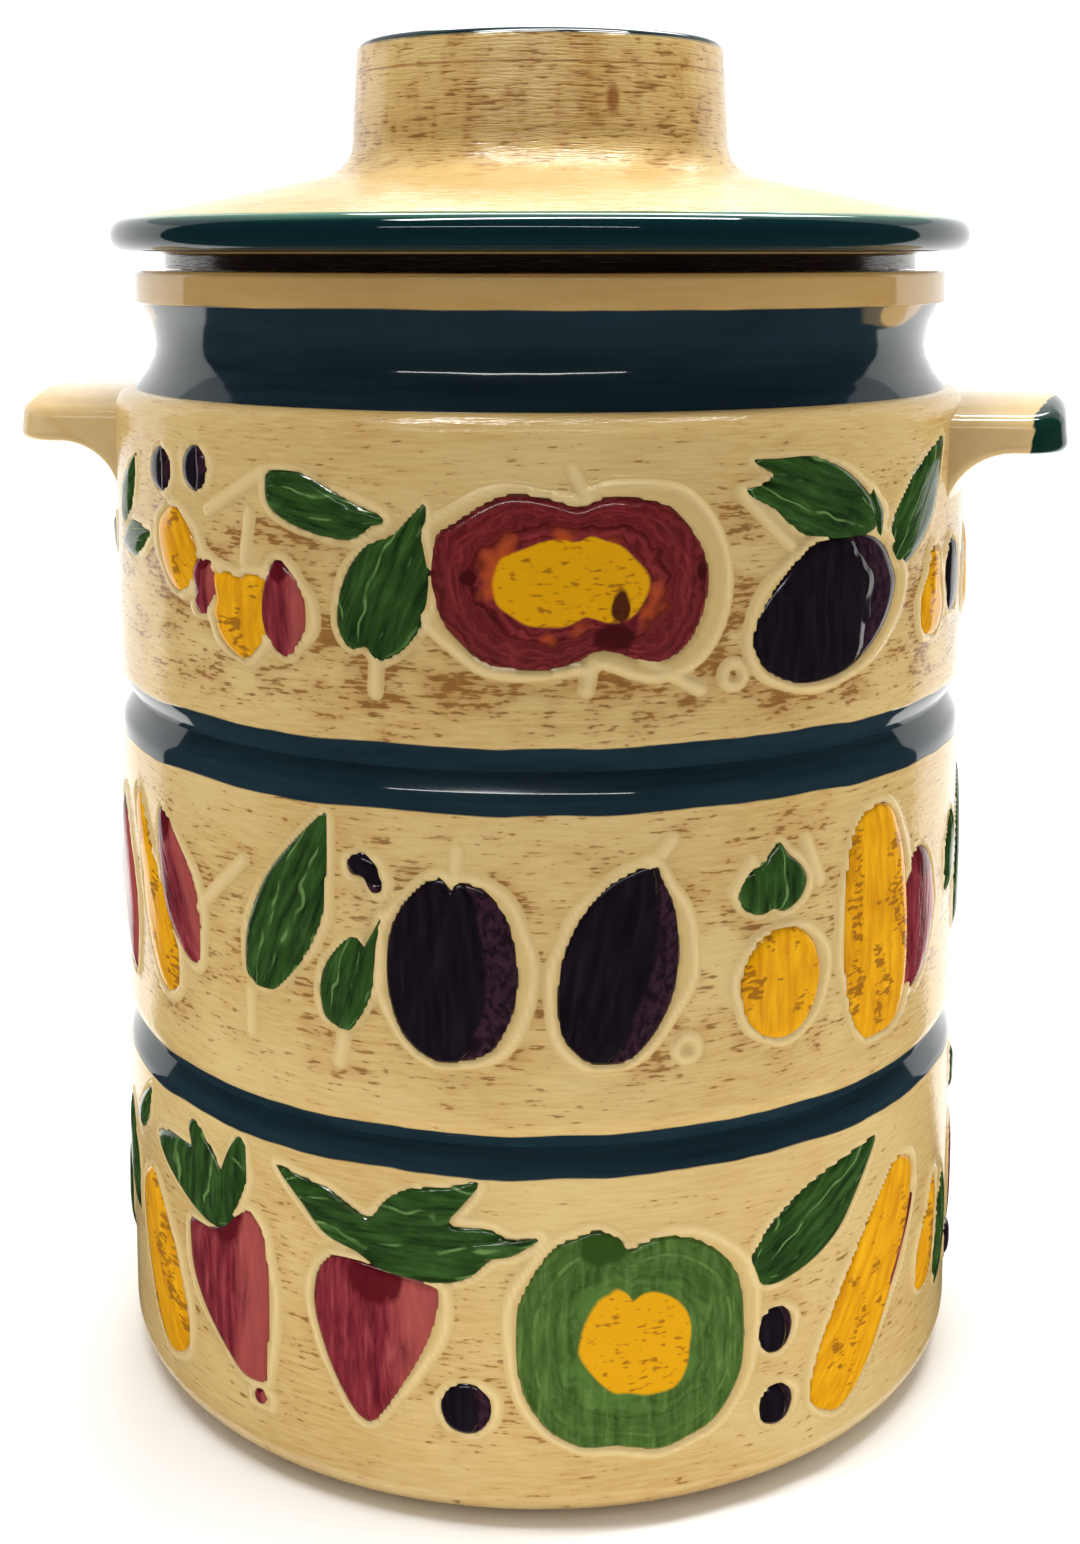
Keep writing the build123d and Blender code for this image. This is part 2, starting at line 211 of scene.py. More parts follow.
# Outlines, as shares of the half width and the half length, from the foot at -1 to the tip at 1,
# anticlockwise. The first pair is the core that the domed rings close on.
OUTLINES = {
    "leaf": [(0, -.1), (0, -1), (.55, -.62), (.95, -.12), (.72, .38), (.3, .78), (.02, 1),
             (-.25, .76), (-.72, .36), (-1, -.15), (-.58, -.64)],
    "blunt_leaf": [(0, -.1), (-.1, -1), (.5, -.88), (.86, -.5), (1, .08), (.86, .56), (.46, .74),
                   (.3, .8), (0, 1), (-.2, .84), (-.3, .6), (-.62, .1), (-.92, -.42), (-.7, -.95)],
    "broad_leaf": [(0, -.25), (0, -.9), (.35, -1), (.82, -.7), (1, -.2), (.8, .25), (.42, .62),
                   (.16, 1), (-.05, .82), (-.3, .5), (-.82, .2), (-1, -.32), (-.8, -.8),
                   (-.35, -1)],
    "long_leaf": [(0, -.1), (.1, -1), (.55, -.86), (.95, -.4), (1, .05), (.72, .42), (.35, .8),
                  (.08, 1), (-.16, .86), (-.55, .5), (-.9, .05), (-.96, -.5), (-.6, -.92),
                  (-.25, -1)],
    "spiked_leaf": [(0, -.3), (0, -.98), (.5, -.95), (.9, -.5), (1, -.05), (.95, .35), (.82, .7),
                    (.74, 1), (.58, .6), (.4, .4), (0, .5), (-.5, .35), (-.95, -.1), (-.98, -.5),
                    (-.6, -.88)],
    "forked_leaf": [(0, -.1), (0, -1), (.6, -.7), (.95, -.2), (.95, .3), (.6, .7), (.34, .99),
                    (.16, .72), (-.2, .84), (-.5, 1), (-.62, .6), (-.98, .1), (-.8, -.45),
                    (-.4, -.85)],
    "crown": [(.35, 0), (-.68, -1), (-.59, -.76), (-.50, -.54), (-.25, -.37), (-.11, -.22), (-.49, -.10),
              (-.77, .08), (-.87, .33), (-1, .57), (-.55, .46), (-.17, .36), (-.13, .63), (.08, .80),
              (.02, 1), (.37, .81), (.46, .66), (.83, .50), (1, .30), (.96, .05), (.86, -.16),
              (.61, -.34), (.40, -.59), (-.03, -.76)],
    "tuft": [(.45, -.35), (-1, .15), (-.55, .39), (-.07, .42), (-.11, .86), (.08, .90), (.35, .57),
             (.60, .17), (.67, .47), (.82, .98), (.96, 1), (1, .40), (.96, .05), (.83, -.39),
             (.72, -.83), (.41, -1), (.13, -.92), (-.20, -.73), (-.54, -.48), (-.84, -.21)],
    "broad_plum": [(0, 0), (-.29, .91), (-.64, .53), (-.86, .17), (-.98, -.15), (-1, -.43), (-.88, -.70),
                   (-.67, -.89), (-.41, -1), (-.10, -.99), (.25, -.88), (.61, -.59), (.87, -.23),
                   (1, .18), (.94, .46), (.77, .78), (.51, .96), (.07, 1)],
    "plum": [(0, 0), (0, -1), (.6, -.86), (.95, -.4), (1, .1), (.84, .58), (.5, .88), (.12, .95),
             (0, .86), (-.14, .99), (-.55, .84), (-.92, .42), (-1, -.15), (-.8, -.68),
             (-.4, -.95)],
    "pointed_plum": [(0, 0), (0, -1), (.62, -.86), (1, -.35), (.98, .15), (.72, .6), (.42, .84),
                     (.18, 1), (-.1, .94), (-.55, .72), (-.92, .3), (-1, -.2), (-.78, -.72),
                     (-.4, -.94)],
    "berry": [(0, 0), (0, -1), (.66, -.76), (1, -.05), (.8, .64), (.15, 1), (-.6, .8), (-.98, .1),
              (-.72, -.7)],
    "bean": [(-.1, -.2), (-.3, -.95), (.3, -.98), (.75, -.6), (.55, -.1), (.6, .3), (1, .7),
             (.75, .98), (.2, .95), (-.3, .6), (-.85, .1), (-.9, -.55)],
    "apple": [(0, 0), (-.95, .50), (-.80, .69), (-.52, .96), (-.32, 1), (-.10, .93), (.06, .86),
              (.26, .97), (.50, .94), (.70, .84), (.84, .62), (.96, .31), (1, -.01), (.96, -.37),
              (.85, -.73), (.71, -.90), (.55, -.94), (.23, -.78), (.06, -.90), (-.15, -1), (-.39, -.99),
              (-.61, -.92), (-.78, -.69), (-.91, -.45), (-.97, -.17), (-1, .11)],
    "slice": [(.1, 0), (-.25, -1), (.4, -.8), (.86, -.3), (1, .2), (.6, .8), (0, 1), (-.55, .85),
              (-.9, .45), (-.75, 0), (-.6, -.5), (-.75, -.8)],
    "petal": [(0, 0), (.1, -1), (.6, -.7), (.95, -.3), (.9, .2), (.5, .75), (0, 1), (-.45, .8),
              (-.85, .3), (-1, -.3), (-.5, -.85)],
    "strawberry": [(0, .2), (-.68, .97), (-.29, 1), (.31, .94), (.80, .86), (1, .77), (.98, .42),
                   (.75, -.06), (.34, -.62), (.08, -.92), (-.09, -1), (-.32, -.90), (-.61, -.56),
                   (-.85, -.14), (-1, .30), (-.94, .71)],
    "radish": [(.3, .1), (-.93, .57), (-.31, .62), (.30, .91), (.64, 1), (.89, .80), (1, .31), (1, -.20),
               (.93, -.77), (.89, -.97), (.43, -1), (.01, -.80), (-.53, -.45), (-.90, -.06), (-1, .34)],
    "pepper": [(0, 0), (-.80, .70), (-.64, .88), (-.47, .95), (-.32, 1), (-.15, .93), (-.05, .81),
               (.10, .87), (.33, .89), (.60, .79), (.83, .60), (.96, .35), (1, .02), (.99, -.35),
               (.90, -.59), (.72, -.82), (.48, -.93), (.22, -1), (-.14, -.93), (-.41, -.93),
               (-.66, -.81), (-.85, -.60), (-.96, -.34), (-1, .03), (-.96, .39)],
    "pear": [(0, -.4), (0, -1), (.6, -.9), (1, -.5), (.95, -.1), (.6, .3), (.48, .7), (.3, .96),
             (-.1, 1), (-.42, .8), (-.55, .35), (-.92, -.05), (-1, -.5), (-.65, -.9)],
    "heart_pear": [(0, -.2), (.1, -1), (.7, -.6), (.98, -.1), (.9, .5), (.95, .9), (.4, 1),
                   (0, .9), (-.5, 1), (-.95, .95), (-.9, .4), (-1, 0), (-.7, -.6)],
    "pod": [(0, 0), (0, -1), (.6, -.93), (.95, -.6), (1, 0), (.85, .55), (.5, .92), (0, 1),
            (-.6, .9), (-.9, .5), (-1, -.1), (-.9, -.65), (-.55, -.95)],
}

# Place of each sprig: outline, drum from the top, then angle from -Y towards +X in degrees and height
# share of the foot, the same two of the tip, and width share of the length
LEAVES = [
    ("leaf", 0, -60, .59, -53, .87, .40), ("leaf", 0, -60, .51, -48.5, .59, .40),
    ("blunt_leaf", 0, -25.5, .80, -9.5, .72, .42), ("broad_leaf", 0, -12.3, .27, -5.5, .79, .56),
    ("forked_leaf", 0, 52.5, .66, 32, .87, .42), ("long_leaf", 0, 55.5, .51, 68, .94, .42),
    ("leaf", 0, 52.5, .60, 50.5, .80, .42),
    ("leaf", 0, 97, .37, 110, .58, .40), ("long_leaf", 1, -27.5, .33, -17.8, .95, .38),
    ("spiked_leaf", 1, -16.3, .25, -12.6, .66, .43), ("broad_leaf", 1, 36.2, .61, 36.2, .84, 1.15),
    ("leaf", 1, 75, .43, 78, .72, .50), ("long_leaf", 1, 84, .22, 92, .82, .40),
    ("leaf", 2, -60, .43, -66, .83, .35), ("long_leaf", 2, -58.5, .78, -53, .98, .40),
    ("tuft", 2, -40.5, .64, -40.5, .99, 1.59), ("crown", 2, -25.4, .83, 8.2, .83, .38),
    ("long_leaf", 2, 34.5, .60, 54, .95, .40), ("leaf", 2, 74, .17, 78, .58, .30),
    ("leaf", 2, 93, .71, 84, .98, .40), ("leaf", 2, 95, .72, 105, .96, .40),
    ("leaf", 2, 105, .17, 109, .60, .35),
]
PLUMS = [
    ("broad_plum", 0, 44.4, .14, 44.4, .64, 1.35), ("plum", 0, 73, .26, 73.5, .55, .60),
    ("plum", 1, -2.2, .18, -2.2, .78, .70), ("pointed_plum", 1, 14.5, .18, 20, .82, .56),
    ("plum", 1, 101, .15, 100, .75, .66),
]
BERRIES = [
    ("berry", 0, -45.2, .75, -45.2, .91, .95), ("berry", 0, -37.4, .77, -37.4, .93, .88),
    ("berry", 0, 100, .12, 100, .26, .98), ("bean", 1, -14.5, .81, -10, .74, .70),
    ("berry", 2, -.7, .16, -.7, .33, .98), ("berry", 2, 37.3, .33, 37.3, .49, .86),
    ("berry", 2, 37.5, .08, 37.5, .22, .98), ("berry", 2, 84, .16, 84, .30, .98),
]
APPLES = [("apple", 0, 11.4, .24, 11.4, .82, 1.61)]
APPLE_SLICES = [
    ("slice", 0, -35.8, .34, -35.8, .55, .72), ("petal", 0, -22.5, .24, -23.5, .57, .60),
    ("petal", 1, -58.5, .14, -65, .78, .34), ("petal", 1, -39, .33, -47.5, .82, .42),
    ("slice", 1, 63, .19, 64, .68, .55), ("petal", 2, 50.5, .15, 64.5, .68, .15),
]
STRAWBERRIES = [
    ("radish", 2, -34.4, .16, -34.4, .75, .70), ("strawberry", 2, -12, .15, -12, .70, .79),
    ("strawberry", 2, 93.7, .13, 93.7, .66, .72), ("berry", 2, -28.5, .085, -28.5, .145, .95),
]
PEPPERS = [("pepper", 2, 19, .09, 19, .85, 1)]
PEARS = [
    ("pod", 0, -39, .43, -44, .69, .76), ("heart_pear", 0, -29.3, .21, -29.6, .51, .90),
    ("pear", 0, 65, .21, 66.5, .54, .60), ("pear", 0, 88, .19, 92, .55, .70),
    ("pear", 1, -44.5, .19, -56, .84, .29), ("berry", 1, 37.5, .19, 37.5, .56, .85),
    ("pod", 1, 54.5, .09, 53, .89, .45), ("pod", 2, -45.5, .08, -54.5, .67, .42),
    ("pod", 2, 45, .06, 62, .80, .34), ("pear", 2, 67, .24, 72, .62, .38),
]

# Raised stem lines: drum, then angle and height share of both ends
STEMS = [
    (0, -35, .71, -25.8, .86), (0, -27.8, .72, -28.7, .54), (0, -10.6, .32, -10.9, .15),
    (0, 13.2, .80, 11.5, .90), (0, 13.7, .27, 13.1, .17), (0, 31.2, .81, 38, .62),
    (0, 19.2, .28, 26.3, .16), (1, -1.7, .77, -1.4, .87), (1, 20.5, .81, 23.1, .89),
    (1, -28.9, .31, -29, .17), (1, -38.4, .53, -29.8, .74), (1, -15.3, .24, -16, .14),
    (1, 30.9, .70, 33.1, .79), (1, 43.1, .69, 40.8, .83), (2, -33.6, .70, -32.2, .94),
]
RINGS = [(0, 30.4, .20), (1, 25.1, .21)]

PANELS = [
    (UPPER_GROOVE + PANEL_CLEARANCE, SHOULDER - SHOULDER_EDGE),
    (LOWER_GROOVE + PANEL_CLEARANCE, UPPER_GROOVE - PANEL_CLEARANCE),
    (FOOT_EDGE, LOWER_GROOVE - PANEL_CLEARANCE),
]


def on_wall(drum, angle, share):
    """Place on a drum's wall unrolled: arc length and height in millimetres."""
    bottom, top = PANELS[drum]
    return np.array((math.radians(angle) * DRUM_RADIUS, bottom + share * (top - bottom)))


def smooth_loop(corners, count):
    """Evenly numbered points of a smooth closed line through the corners."""
    corners = np.array(corners, float)
    loop = []
    for step in range(count):
        place = step / count * len(corners)
        here = int(place)
        t = place - here
        a, b, c, d = (corners[(here + shift) % len(corners)] for shift in (-1, 0, 1, 2))
        loop.append(.5 * (2 * b + (c - a) * t + (2 * a - 5 * b + 4 * c - d) * t ** 2
                          + (3 * b - a - 3 * c + d) * t ** 3))
    return np.array(loop)


def lying(row):
    """Centre, length, width and the two directions of a sprig on the unrolled wall."""
    drum, foot_angle, foot_share, tip_angle, tip_share, width_share = row[1:]
    foot = on_wall(drum, foot_angle, foot_share)
    tip = on_wall(drum, tip_angle, tip_share)
    length = math.dist(foot, tip)
    along = (tip - foot) / length
    return (foot + tip) / 2, length, length * width_share, np.array((along[1], -along[0])), along


def outline_on_wall(row):
    """Closed outline of a sprig on the unrolled wall, in millimetres."""
    centre, length, width, across, along = lying(row)
    loop = smooth_loop(OUTLINES[row[0]][1:], SPRIG_POINTS)
    return centre + loop[:, :1] * width / 2 * across + loop[:, 1:] * length / 2 * along


def ringed_pad():
    """A disc of unit size with rings of faces, closed below, from which every sprig is shaped."""
    bpy.ops.object.select_all(action="DESELECT")
    bpy.ops.mesh.primitive_circle_add(vertices=SPRIG_POINTS, radius=1, fill_type="NGON")
    pad = bpy.context.object
    bpy.ops.object.mode_set(mode="EDIT")
    bpy.ops.mesh.select_all(action="SELECT")
    bpy.ops.mesh.extrude_region_move(TRANSFORM_OT_translate={"value": (0, 0, 1)})
    for _ in range(SPRIG_RINGS):
        bpy.ops.mesh.inset(thickness=RING_STEP, use_even_offset=False)
    bpy.ops.mesh.poke()
    bpy.ops.object.mode_set(mode="OBJECT")
    return pad


def sprig(pad, row, half_turn):
    """One fruit or leaf, shaped from the pad and wrapped on the wall."""
    centre, length, width, across, along = lying(row)
    core = np.array(OUTLINES[row[0]][0])
    loop = smooth_loop(OUTLINES[row[0]][1:], SPRIG_POINTS)
    mesh = pad.data.copy()
    flat = np.array([vertex.co for vertex in mesh.vertices])
    ring = np.hypot(flat[:, 0], flat[:, 1])
    number = np.round(np.arctan2(flat[:, 1], flat[:, 0]) / math.tau * SPRIG_POINTS).astype(int)
    edge = loop[number % SPRIG_POINTS]
    reach = 1 - (1 - np.minimum(ring, 1)) ** DOME_FULLNESS
    share = core + (edge - core) * reach[:, None]
    inset = (1 - reach) * min(width, length) / 2
    rise = SPRIG_EDGE + (SPRIG_RISE - SPRIG_EDGE) * (1 - np.exp(-inset / SPRIG_SHOULDER))
    underside = flat[:, 2] < .5
    rise = np.where(underside, -SPRIG_SINK, rise)
    place = centre + share[:, :1] * width / 2 * across + share[:, 1:] * length / 2 * along
    angle = place[:, 0] / DRUM_RADIUS + (math.pi if half_turn else 0)
    radius = (DRUM_RADIUS + rise) * MM
    spots = np.stack([radius * np.sin(angle), -radius * np.cos(angle), place[:, 1] * MM], 1)
    mesh.vertices.foreach_set("co", spots.astype(np.float32).ravel())
    piece = bpy.data.objects.new("sprig", mesh)
    bpy.context.collection.objects.link(piece)
    give_attribute(piece, "rim", reach)
    give_attribute(piece, "side", share[:, 0])
    give_attribute(piece, "up", share[:, 1])
    give_attribute(piece, "across", share[:, 0] / np.sqrt(np.maximum(1 - share[:, 1] ** 2, .08)))
    start = random.random() * BRUSH_SPREAD
    strokes = np.stack([share[:, 0] * width / 2, share[:, 1] * length / 2 + start], 1) * MM
    corner_vertices = np.array([corner.vertex_index for corner in mesh.loops])
    layer = mesh.uv_layers.new(name="brush")
    layer.data.foreach_set("uv", strokes[corner_vertices].astype(np.float32).ravel())
    return piece


def relief(name, rows, pad):
    """Every sprig of one kind, on both halves of the pot, as one piece."""
    sprigs = [sprig(pad, row, half_turn) for row in rows for half_turn in (False, True)]
    bpy.ops.object.select_all(action="DESELECT")
    for piece in sprigs:
        piece.select_set(True)
    bpy.context.view_layer.objects.active = sprigs[0]
    bpy.ops.object.join()
    piece = bpy.context.object
    piece.name = piece.data.name = name
    bpy.ops.object.mode_set(mode="EDIT")
    bpy.ops.mesh.select_all(action="SELECT")
    bpy.ops.mesh.normals_make_consistent(inside=False)
    bpy.ops.object.mode_set(mode="OBJECT")
    bpy.ops.object.shade_smooth()
    return piece


# Ribs round the fruit

# Strength of the brown stain up each drum, from its foot to its top
STAIN_SHARES = [0, .12, .3, .7, .88, 1]
STAIN_ON_DRUM = [
    [1, 1.7, 1.6, 1.05, .6, .4], [.45, .95, 1.1, 1, .95, .7], [.3, .6, .75, .7, .45, .15],
]

# The stain is this strong far from a rib, and fades to that over this many millimetres. Towards the
# lugs the brown is weaker by the last share, so the ground is lighter at the sides.
STAIN_FAR = 0.42
STAIN_FADE = 6.0
LIGHTER_TOWARDS_LUGS = 0.3

# Width of the smooth rib round each sort of sprig, and its height share
RIB_SORTS = [
    (LEAVES, 1.5, .6), (PLUMS, 3.1, 1), (BERRIES, 1.7, .6), (APPLES, 4.2, 1.1),
    (APPLE_SLICES, 2.2, .8), (STRAWBERRIES, 2.4, .9), (PEPPERS, 3.0, 1), (PEARS, 2.6, .9),
]

# Half the width of a stem line and of the line of a ring, their height share, and a ring's radius
STEM_HALF = 1.3
RING_HALF = 1.0
LINE_HEIGHT = 0.8
RING_RADIUS = 2.2

# How far from a sprig and from a line the wall is looked at, and how thick its outer skin is taken
SPRIG_NEAR = 30.0
LINE_NEAR = 12.0
WALL_SKIN = 6.0

# Width of the rib's outer slope, how far inside it the crest runs, and half the crest's width
RIB_SLOPE = 1.3
CREST_INSET = 0.9
CREST_HALF = 1.1

# The ribs fade out over this much wall at the top and bottom of a drum, from a little beyond its panel.
RIB_FADE = 3.0
FADE_BEYOND = 2.0


def distance_to_line(places, line):
    """Least distance of each place from a closed or open line of points."""
    least = np.full(len(places), 1e9)
    for a, b in zip(line[:-1], line[1:]):
        run = b - a
        t = np.clip((places - a) @ run / max(run @ run, 1e-12), 0, 1)
        least = np.minimum(least, np.linalg.norm(places - a - t[:, None] * run, axis=1))
    return least


def inside_loop(places, loop):
    """Whether each place lies inside a closed line."""
    odd = np.zeros(len(places), bool)
    for a, b in zip(loop, np.roll(loop, -1, 0)):
        crosses = (a[1] > places[:, 1]) != (b[1] > places[:, 1])
        if a[1] != b[1]:
            at = a[0] + (places[:, 1] - a[1]) / (b[1] - a[1]) * (b[0] - a[0])
            odd ^= crosses & (places[:, 0] < at)
    return odd


def beside(places, line, margin):
    """Which places lie near a line, on either half of the pot, where they lie, and the line's middle."""
    middle = line.mean(0)
    half_way = math.pi * DRUM_RADIUS
    moved = places.copy()
    moved[:, 0] = middle[0] + (places[:, 0] - middle[0] + half_way / 2) % half_way - half_way / 2
    near = np.all(np.abs(moved - middle) < np.abs(line - middle).max(0) + margin, 1)
    return near, moved[near], middle


def drawn_lines(drum):
    """The stem lines and small rings on a drum, each with half its width."""
    lines = [(np.array([on_wall(drum, *ends[:2]), on_wall(drum, *ends[2:])]), STEM_HALF)
             for row_drum, *ends in STEMS if row_drum == drum]
    turn = np.linspace(0, math.tau, 17)[:, None]
    circle = RING_RADIUS * np.hstack([np.cos(turn), np.sin(turn)])
    return lines + [(on_wall(drum, *place) + circle, RING_HALF)
                    for row_drum, *place in RINGS if row_drum == drum]


def rib_field(drum, places):
    """For places on a drum's wall: height share of the ribs, distance out onto the combed ground, and
    how strongly each place gets the painted highlight along the crest of a rib or stem line."""
    rib = np.zeros(len(places))
    crest_highlight = np.zeros(len(places))
    ground = np.full(len(places), SPRIG_NEAR)
    for rows, width, height in RIB_SORTS:
        for row in rows:
            if row[1] != drum:
                continue
            loop = outline_on_wall(row)
            near, spots, middle = beside(places, loop, SPRIG_NEAR)
            distance = distance_to_line(spots, np.vstack([loop, loop[:1]]))
            distance = np.where(inside_loop(spots, loop), -distance, distance)
            # The rib is wide beside the fruit, narrow above and below it, and a little uneven.
            turn = np.arctan2(spots[:, 1] - middle[1], spots[:, 0] - middle[0])
            edge = width * (.76 + .2 * np.cos(turn) + .28 * np.cos(2 * turn)
                            + .1 * np.sin(3 * turn + row[2]) + .07 * np.sin(7 * turn + 2 * row[2]))
            outer = np.clip((edge + .5 - distance) / RIB_SLOPE, 0, 1)
            crest = np.clip(1 - np.abs(edge - CREST_INSET - distance) / CREST_HALF, 0, 1)
            bump = height * outer ** 2 * (3 - 2 * outer) * (.7 + .3 * crest)
            bump[distance < 0] = 0
            rib[near] = np.maximum(rib[near], bump)
            crest_highlight[near] = np.maximum(crest_highlight[near], crest * outer * (distance > 0))
            ground[near] = np.minimum(ground[near], distance - edge)
    for line, half_width in drawn_lines(drum):
        near, spots, middle = beside(places, line, LINE_NEAR)
        distance = distance_to_line(spots, line)
        bump = np.clip(1 - (distance / half_width) ** 2, 0, 1)
        rib[near] = np.maximum(rib[near], LINE_HEIGHT * bump)
        crest_highlight[near] = np.maximum(crest_highlight[near], .7 * bump)
        ground[near] = np.minimum(ground[near], distance - half_width)
    return rib, ground, crest_highlight


def raise_ribs(piece, drum):
    """Lifts the ribs out of a drum's wall, and keeps for its glaze how far the ribs are, where their
    crests get a painted highlight and how much stain there is."""
    spots = np.array([vertex.co for vertex in piece.data.vertices]) / MM
    bottom, top = PANELS[drum]
    arc = np.arctan2(spots[:, 0], -spots[:, 1]) * DRUM_RADIUS
    places = np.stack([arc, spots[:, 2]], 1)
    outer = np.hypot(spots[:, 0], spots[:, 1]) > DRUM_RADIUS - WALL_SKIN
    rib, ground, crest_highlight = np.zeros((3, len(spots)))
    rib[outer], ground[outer], crest_highlight[outer] = rib_field(drum, places[outer])
    fade = (np.clip((spots[:, 2] - bottom + FADE_BEYOND) / RIB_FADE, 0, 1)
            * np.clip((top + FADE_BEYOND - spots[:, 2]) / RIB_FADE, 0, 1))
    rib *= fade
    stain = STAIN_FAR + (1 - STAIN_FAR) * np.exp(-np.maximum(ground, 0) / STAIN_FADE)
    stain *= np.interp((spots[:, 2] - bottom) / (top - bottom), STAIN_SHARES, STAIN_ON_DRUM[drum])
    stain *= 1 - LIGHTER_TOWARDS_LUGS * np.abs(spots[:, 0]) / DRUM_RADIUS
    give_attribute(piece, "ground", ground * MM)
    give_attribute(piece, "crest_highlight", crest_highlight * fade)
    give_attribute(piece, "stain", np.where(outer, stain, 0))
    group = piece.vertex_groups.new(name="rib")
    for number in np.nonzero(rib > .002)[0]:
        group.add([int(number)], float(rib[number] / RIB_MOST), "REPLACE")
    bpy.ops.object.select_all(action="DESELECT")
    piece.select_set(True)
    bpy.context.view_layer.objects.active = piece
    bpy.ops.object.modifier_add(type="DISPLACE")
    lift = piece.modifiers[-1]
    lift.vertex_group = "rib"
    lift.mid_level = 0
    lift.strength = RIB_RISE * RIB_MOST * MM
    bpy.ops.object.modifier_apply(modifier=lift.name)
    piece.vertex_groups.clear()


# Glazes

GLAZE_IOR = 1.5
BRUSHED_ROUGHNESS = 0.12

# Depth of the brush strokes in the fruit's paint, in millimetres
STROKE_DEPTH = 0.12

# Height of the noise that a brushed edge wanders by, in millimetres. It is taller than the pot, so that
# the edge has the same wave at every height.
WAVE_HEIGHT = 400

# Places of the marks on the lid and its collar, in millimetres: where the collar's stain starts to fade
# on the slope and has faded, the edge of the teal dip and where it starts to run thin, the brown line
# round the collar and half its width, and the place and reach of the drip below it
STAIN_FADES = (43, 56)
DIP_RADIUS = 90.6
THIN_RADIUS = 91.6
LINE_HEIGHT_ON_COLLAR = 283.3
LINE_HALF = 0.22
DRIP_PLACE = (20, -36.5, 275.5)
DRIP_REACH = (1.5, 20, 3.8)

# Radius inside which the neck is beige, and how far out the green dip of a lug starts
BEIGE_RADIUS = 80
LUG_DIP = 115.8


def linear(colour):
    """sRGB hex value as linear light."""
    parts = [int(colour[place:place + 2], 16) / 255 for place in (1, 3, 5)]
    return tuple(part / 12.92 if part <= .04045 else ((part + .055) / 1.055) ** 2.4
                 for part in parts) + (1,)


def add_node(tree, kind, inputs=None, **settings):
    """Adds a shader node with its settings. An input is a number, a hex colour, a socket, or a node whose
    first output is used."""
    node = tree.nodes.new("ShaderNode" + kind)
    for name, value in settings.items():
        setattr(node, name, value)
    for name, value in (inputs or {}).items():
        if isinstance(value, bpy.types.Node):
            value = next(output for output in value.outputs if output.enabled)
        if isinstance(value, bpy.types.NodeSocket):
            tree.links.new(value, node.inputs[name])
        else:
            node.inputs[name].default_value = linear(value) if isinstance(value, str) else value
    return node


def laid_over(tree, under, over, amount, start, end, shares=(0, 1)):
    """One colour laid over another, in the first share where an amount is at its start and in the second
    where it is at its end."""
    share = add_node(tree, "MapRange", {"Value": amount, "From Min": start, "From Max": end,
                                        "To Min": shares[0], "To Max": shares[1]})
    return add_node(tree, "Mix", {"Factor": share, 6: under, 7: over}, data_type="RGBA")


def new_glaze(name):
    """A new material for a glaze, still without nodes, and its tree."""
    material = bpy.data.materials.new(name)
    material.use_nodes = True
    material.node_tree.nodes.clear()
    return material, material.node_tree


def fire(tree, colour, roughness, relief_height=None, depth=0.0):
    """Closes a glaze: glassy, over a body that light doesn't pass, with a relief of a depth in
    millimetres."""
    inputs = {"Base Color": colour, "Roughness": roughness, "IOR": GLAZE_IOR}
    if relief_height is not None:
        inputs["Normal"] = add_node(tree, "Bump", {"Height": relief_height, "Distance": depth * MM})
    add_node(tree, "OutputMaterial", {"Surface": add_node(tree, "BsdfPrincipled", inputs)})


def wheel_position(tree):
    """Where a point lies as the potter's wheel turns: a place run along the section, the radius, and the
    point's own X, Y and Z."""
    place = add_node(tree, "SeparateXYZ", {"Vector": add_node(tree, "TexCoord").outputs["Object"]})
    level = add_node(tree, "CombineXYZ", {"X": place.outputs["X"], "Y": place.outputs["Y"]})
    radius = add_node(tree, "VectorMath", {0: level}, operation="LENGTH").outputs["Value"]
    facing = add_node(tree, "VectorMath", {0: level}, operation="NORMALIZE")
    along = add_node(tree, "VectorMath", {0: facing, "Scale": DRUM_RADIUS * MM}, operation="SCALE")
    run = add_node(tree, "Math", {0: place.outputs["Z"], 1: radius}, operation="SUBTRACT")
    rise = add_node(tree, "CombineXYZ", {"Z": run})
    spot = add_node(tree, "VectorMath", {0: along, 1: rise}, operation="ADD")
    return spot, radius, place.outputs


def grain(tree, place, scale, seed, inputs):
    """Noise over a place, scaled each way, and moved by a seed."""
    scaled = add_node(tree, "VectorMath", {0: place, 1: scale}, operation="MULTIPLY")
    moved = add_node(tree, "VectorMath", {0: scaled, 1: (seed, seed, seed)}, operation="ADD")
    return add_node(tree, "TexNoise", {"Vector": moved, "Scale": 1.0, **inputs})


def streaks(tree, spot, length, pitch, detail, seed=0.0):
    """Noise drawn out along the turning direction, length by pitch in millimetres."""
    scale = (1 / (length * MM), 1 / (length * MM), 1 / (pitch * MM))
    return grain(tree, spot, scale, seed, {"Detail": detail, "Roughness": .55})


def brush_marks(tree, width, length, detail, seed):
    """Strokes of a brush along a sprig, width by length in millimetres."""
    return grain(tree, add_node(tree, "UVMap", uv_map="brush"), (1 / (width * MM), 1 / (length * MM), 1),
                 seed, {"Detail": detail, "Roughness": .6, "Distortion": .3})


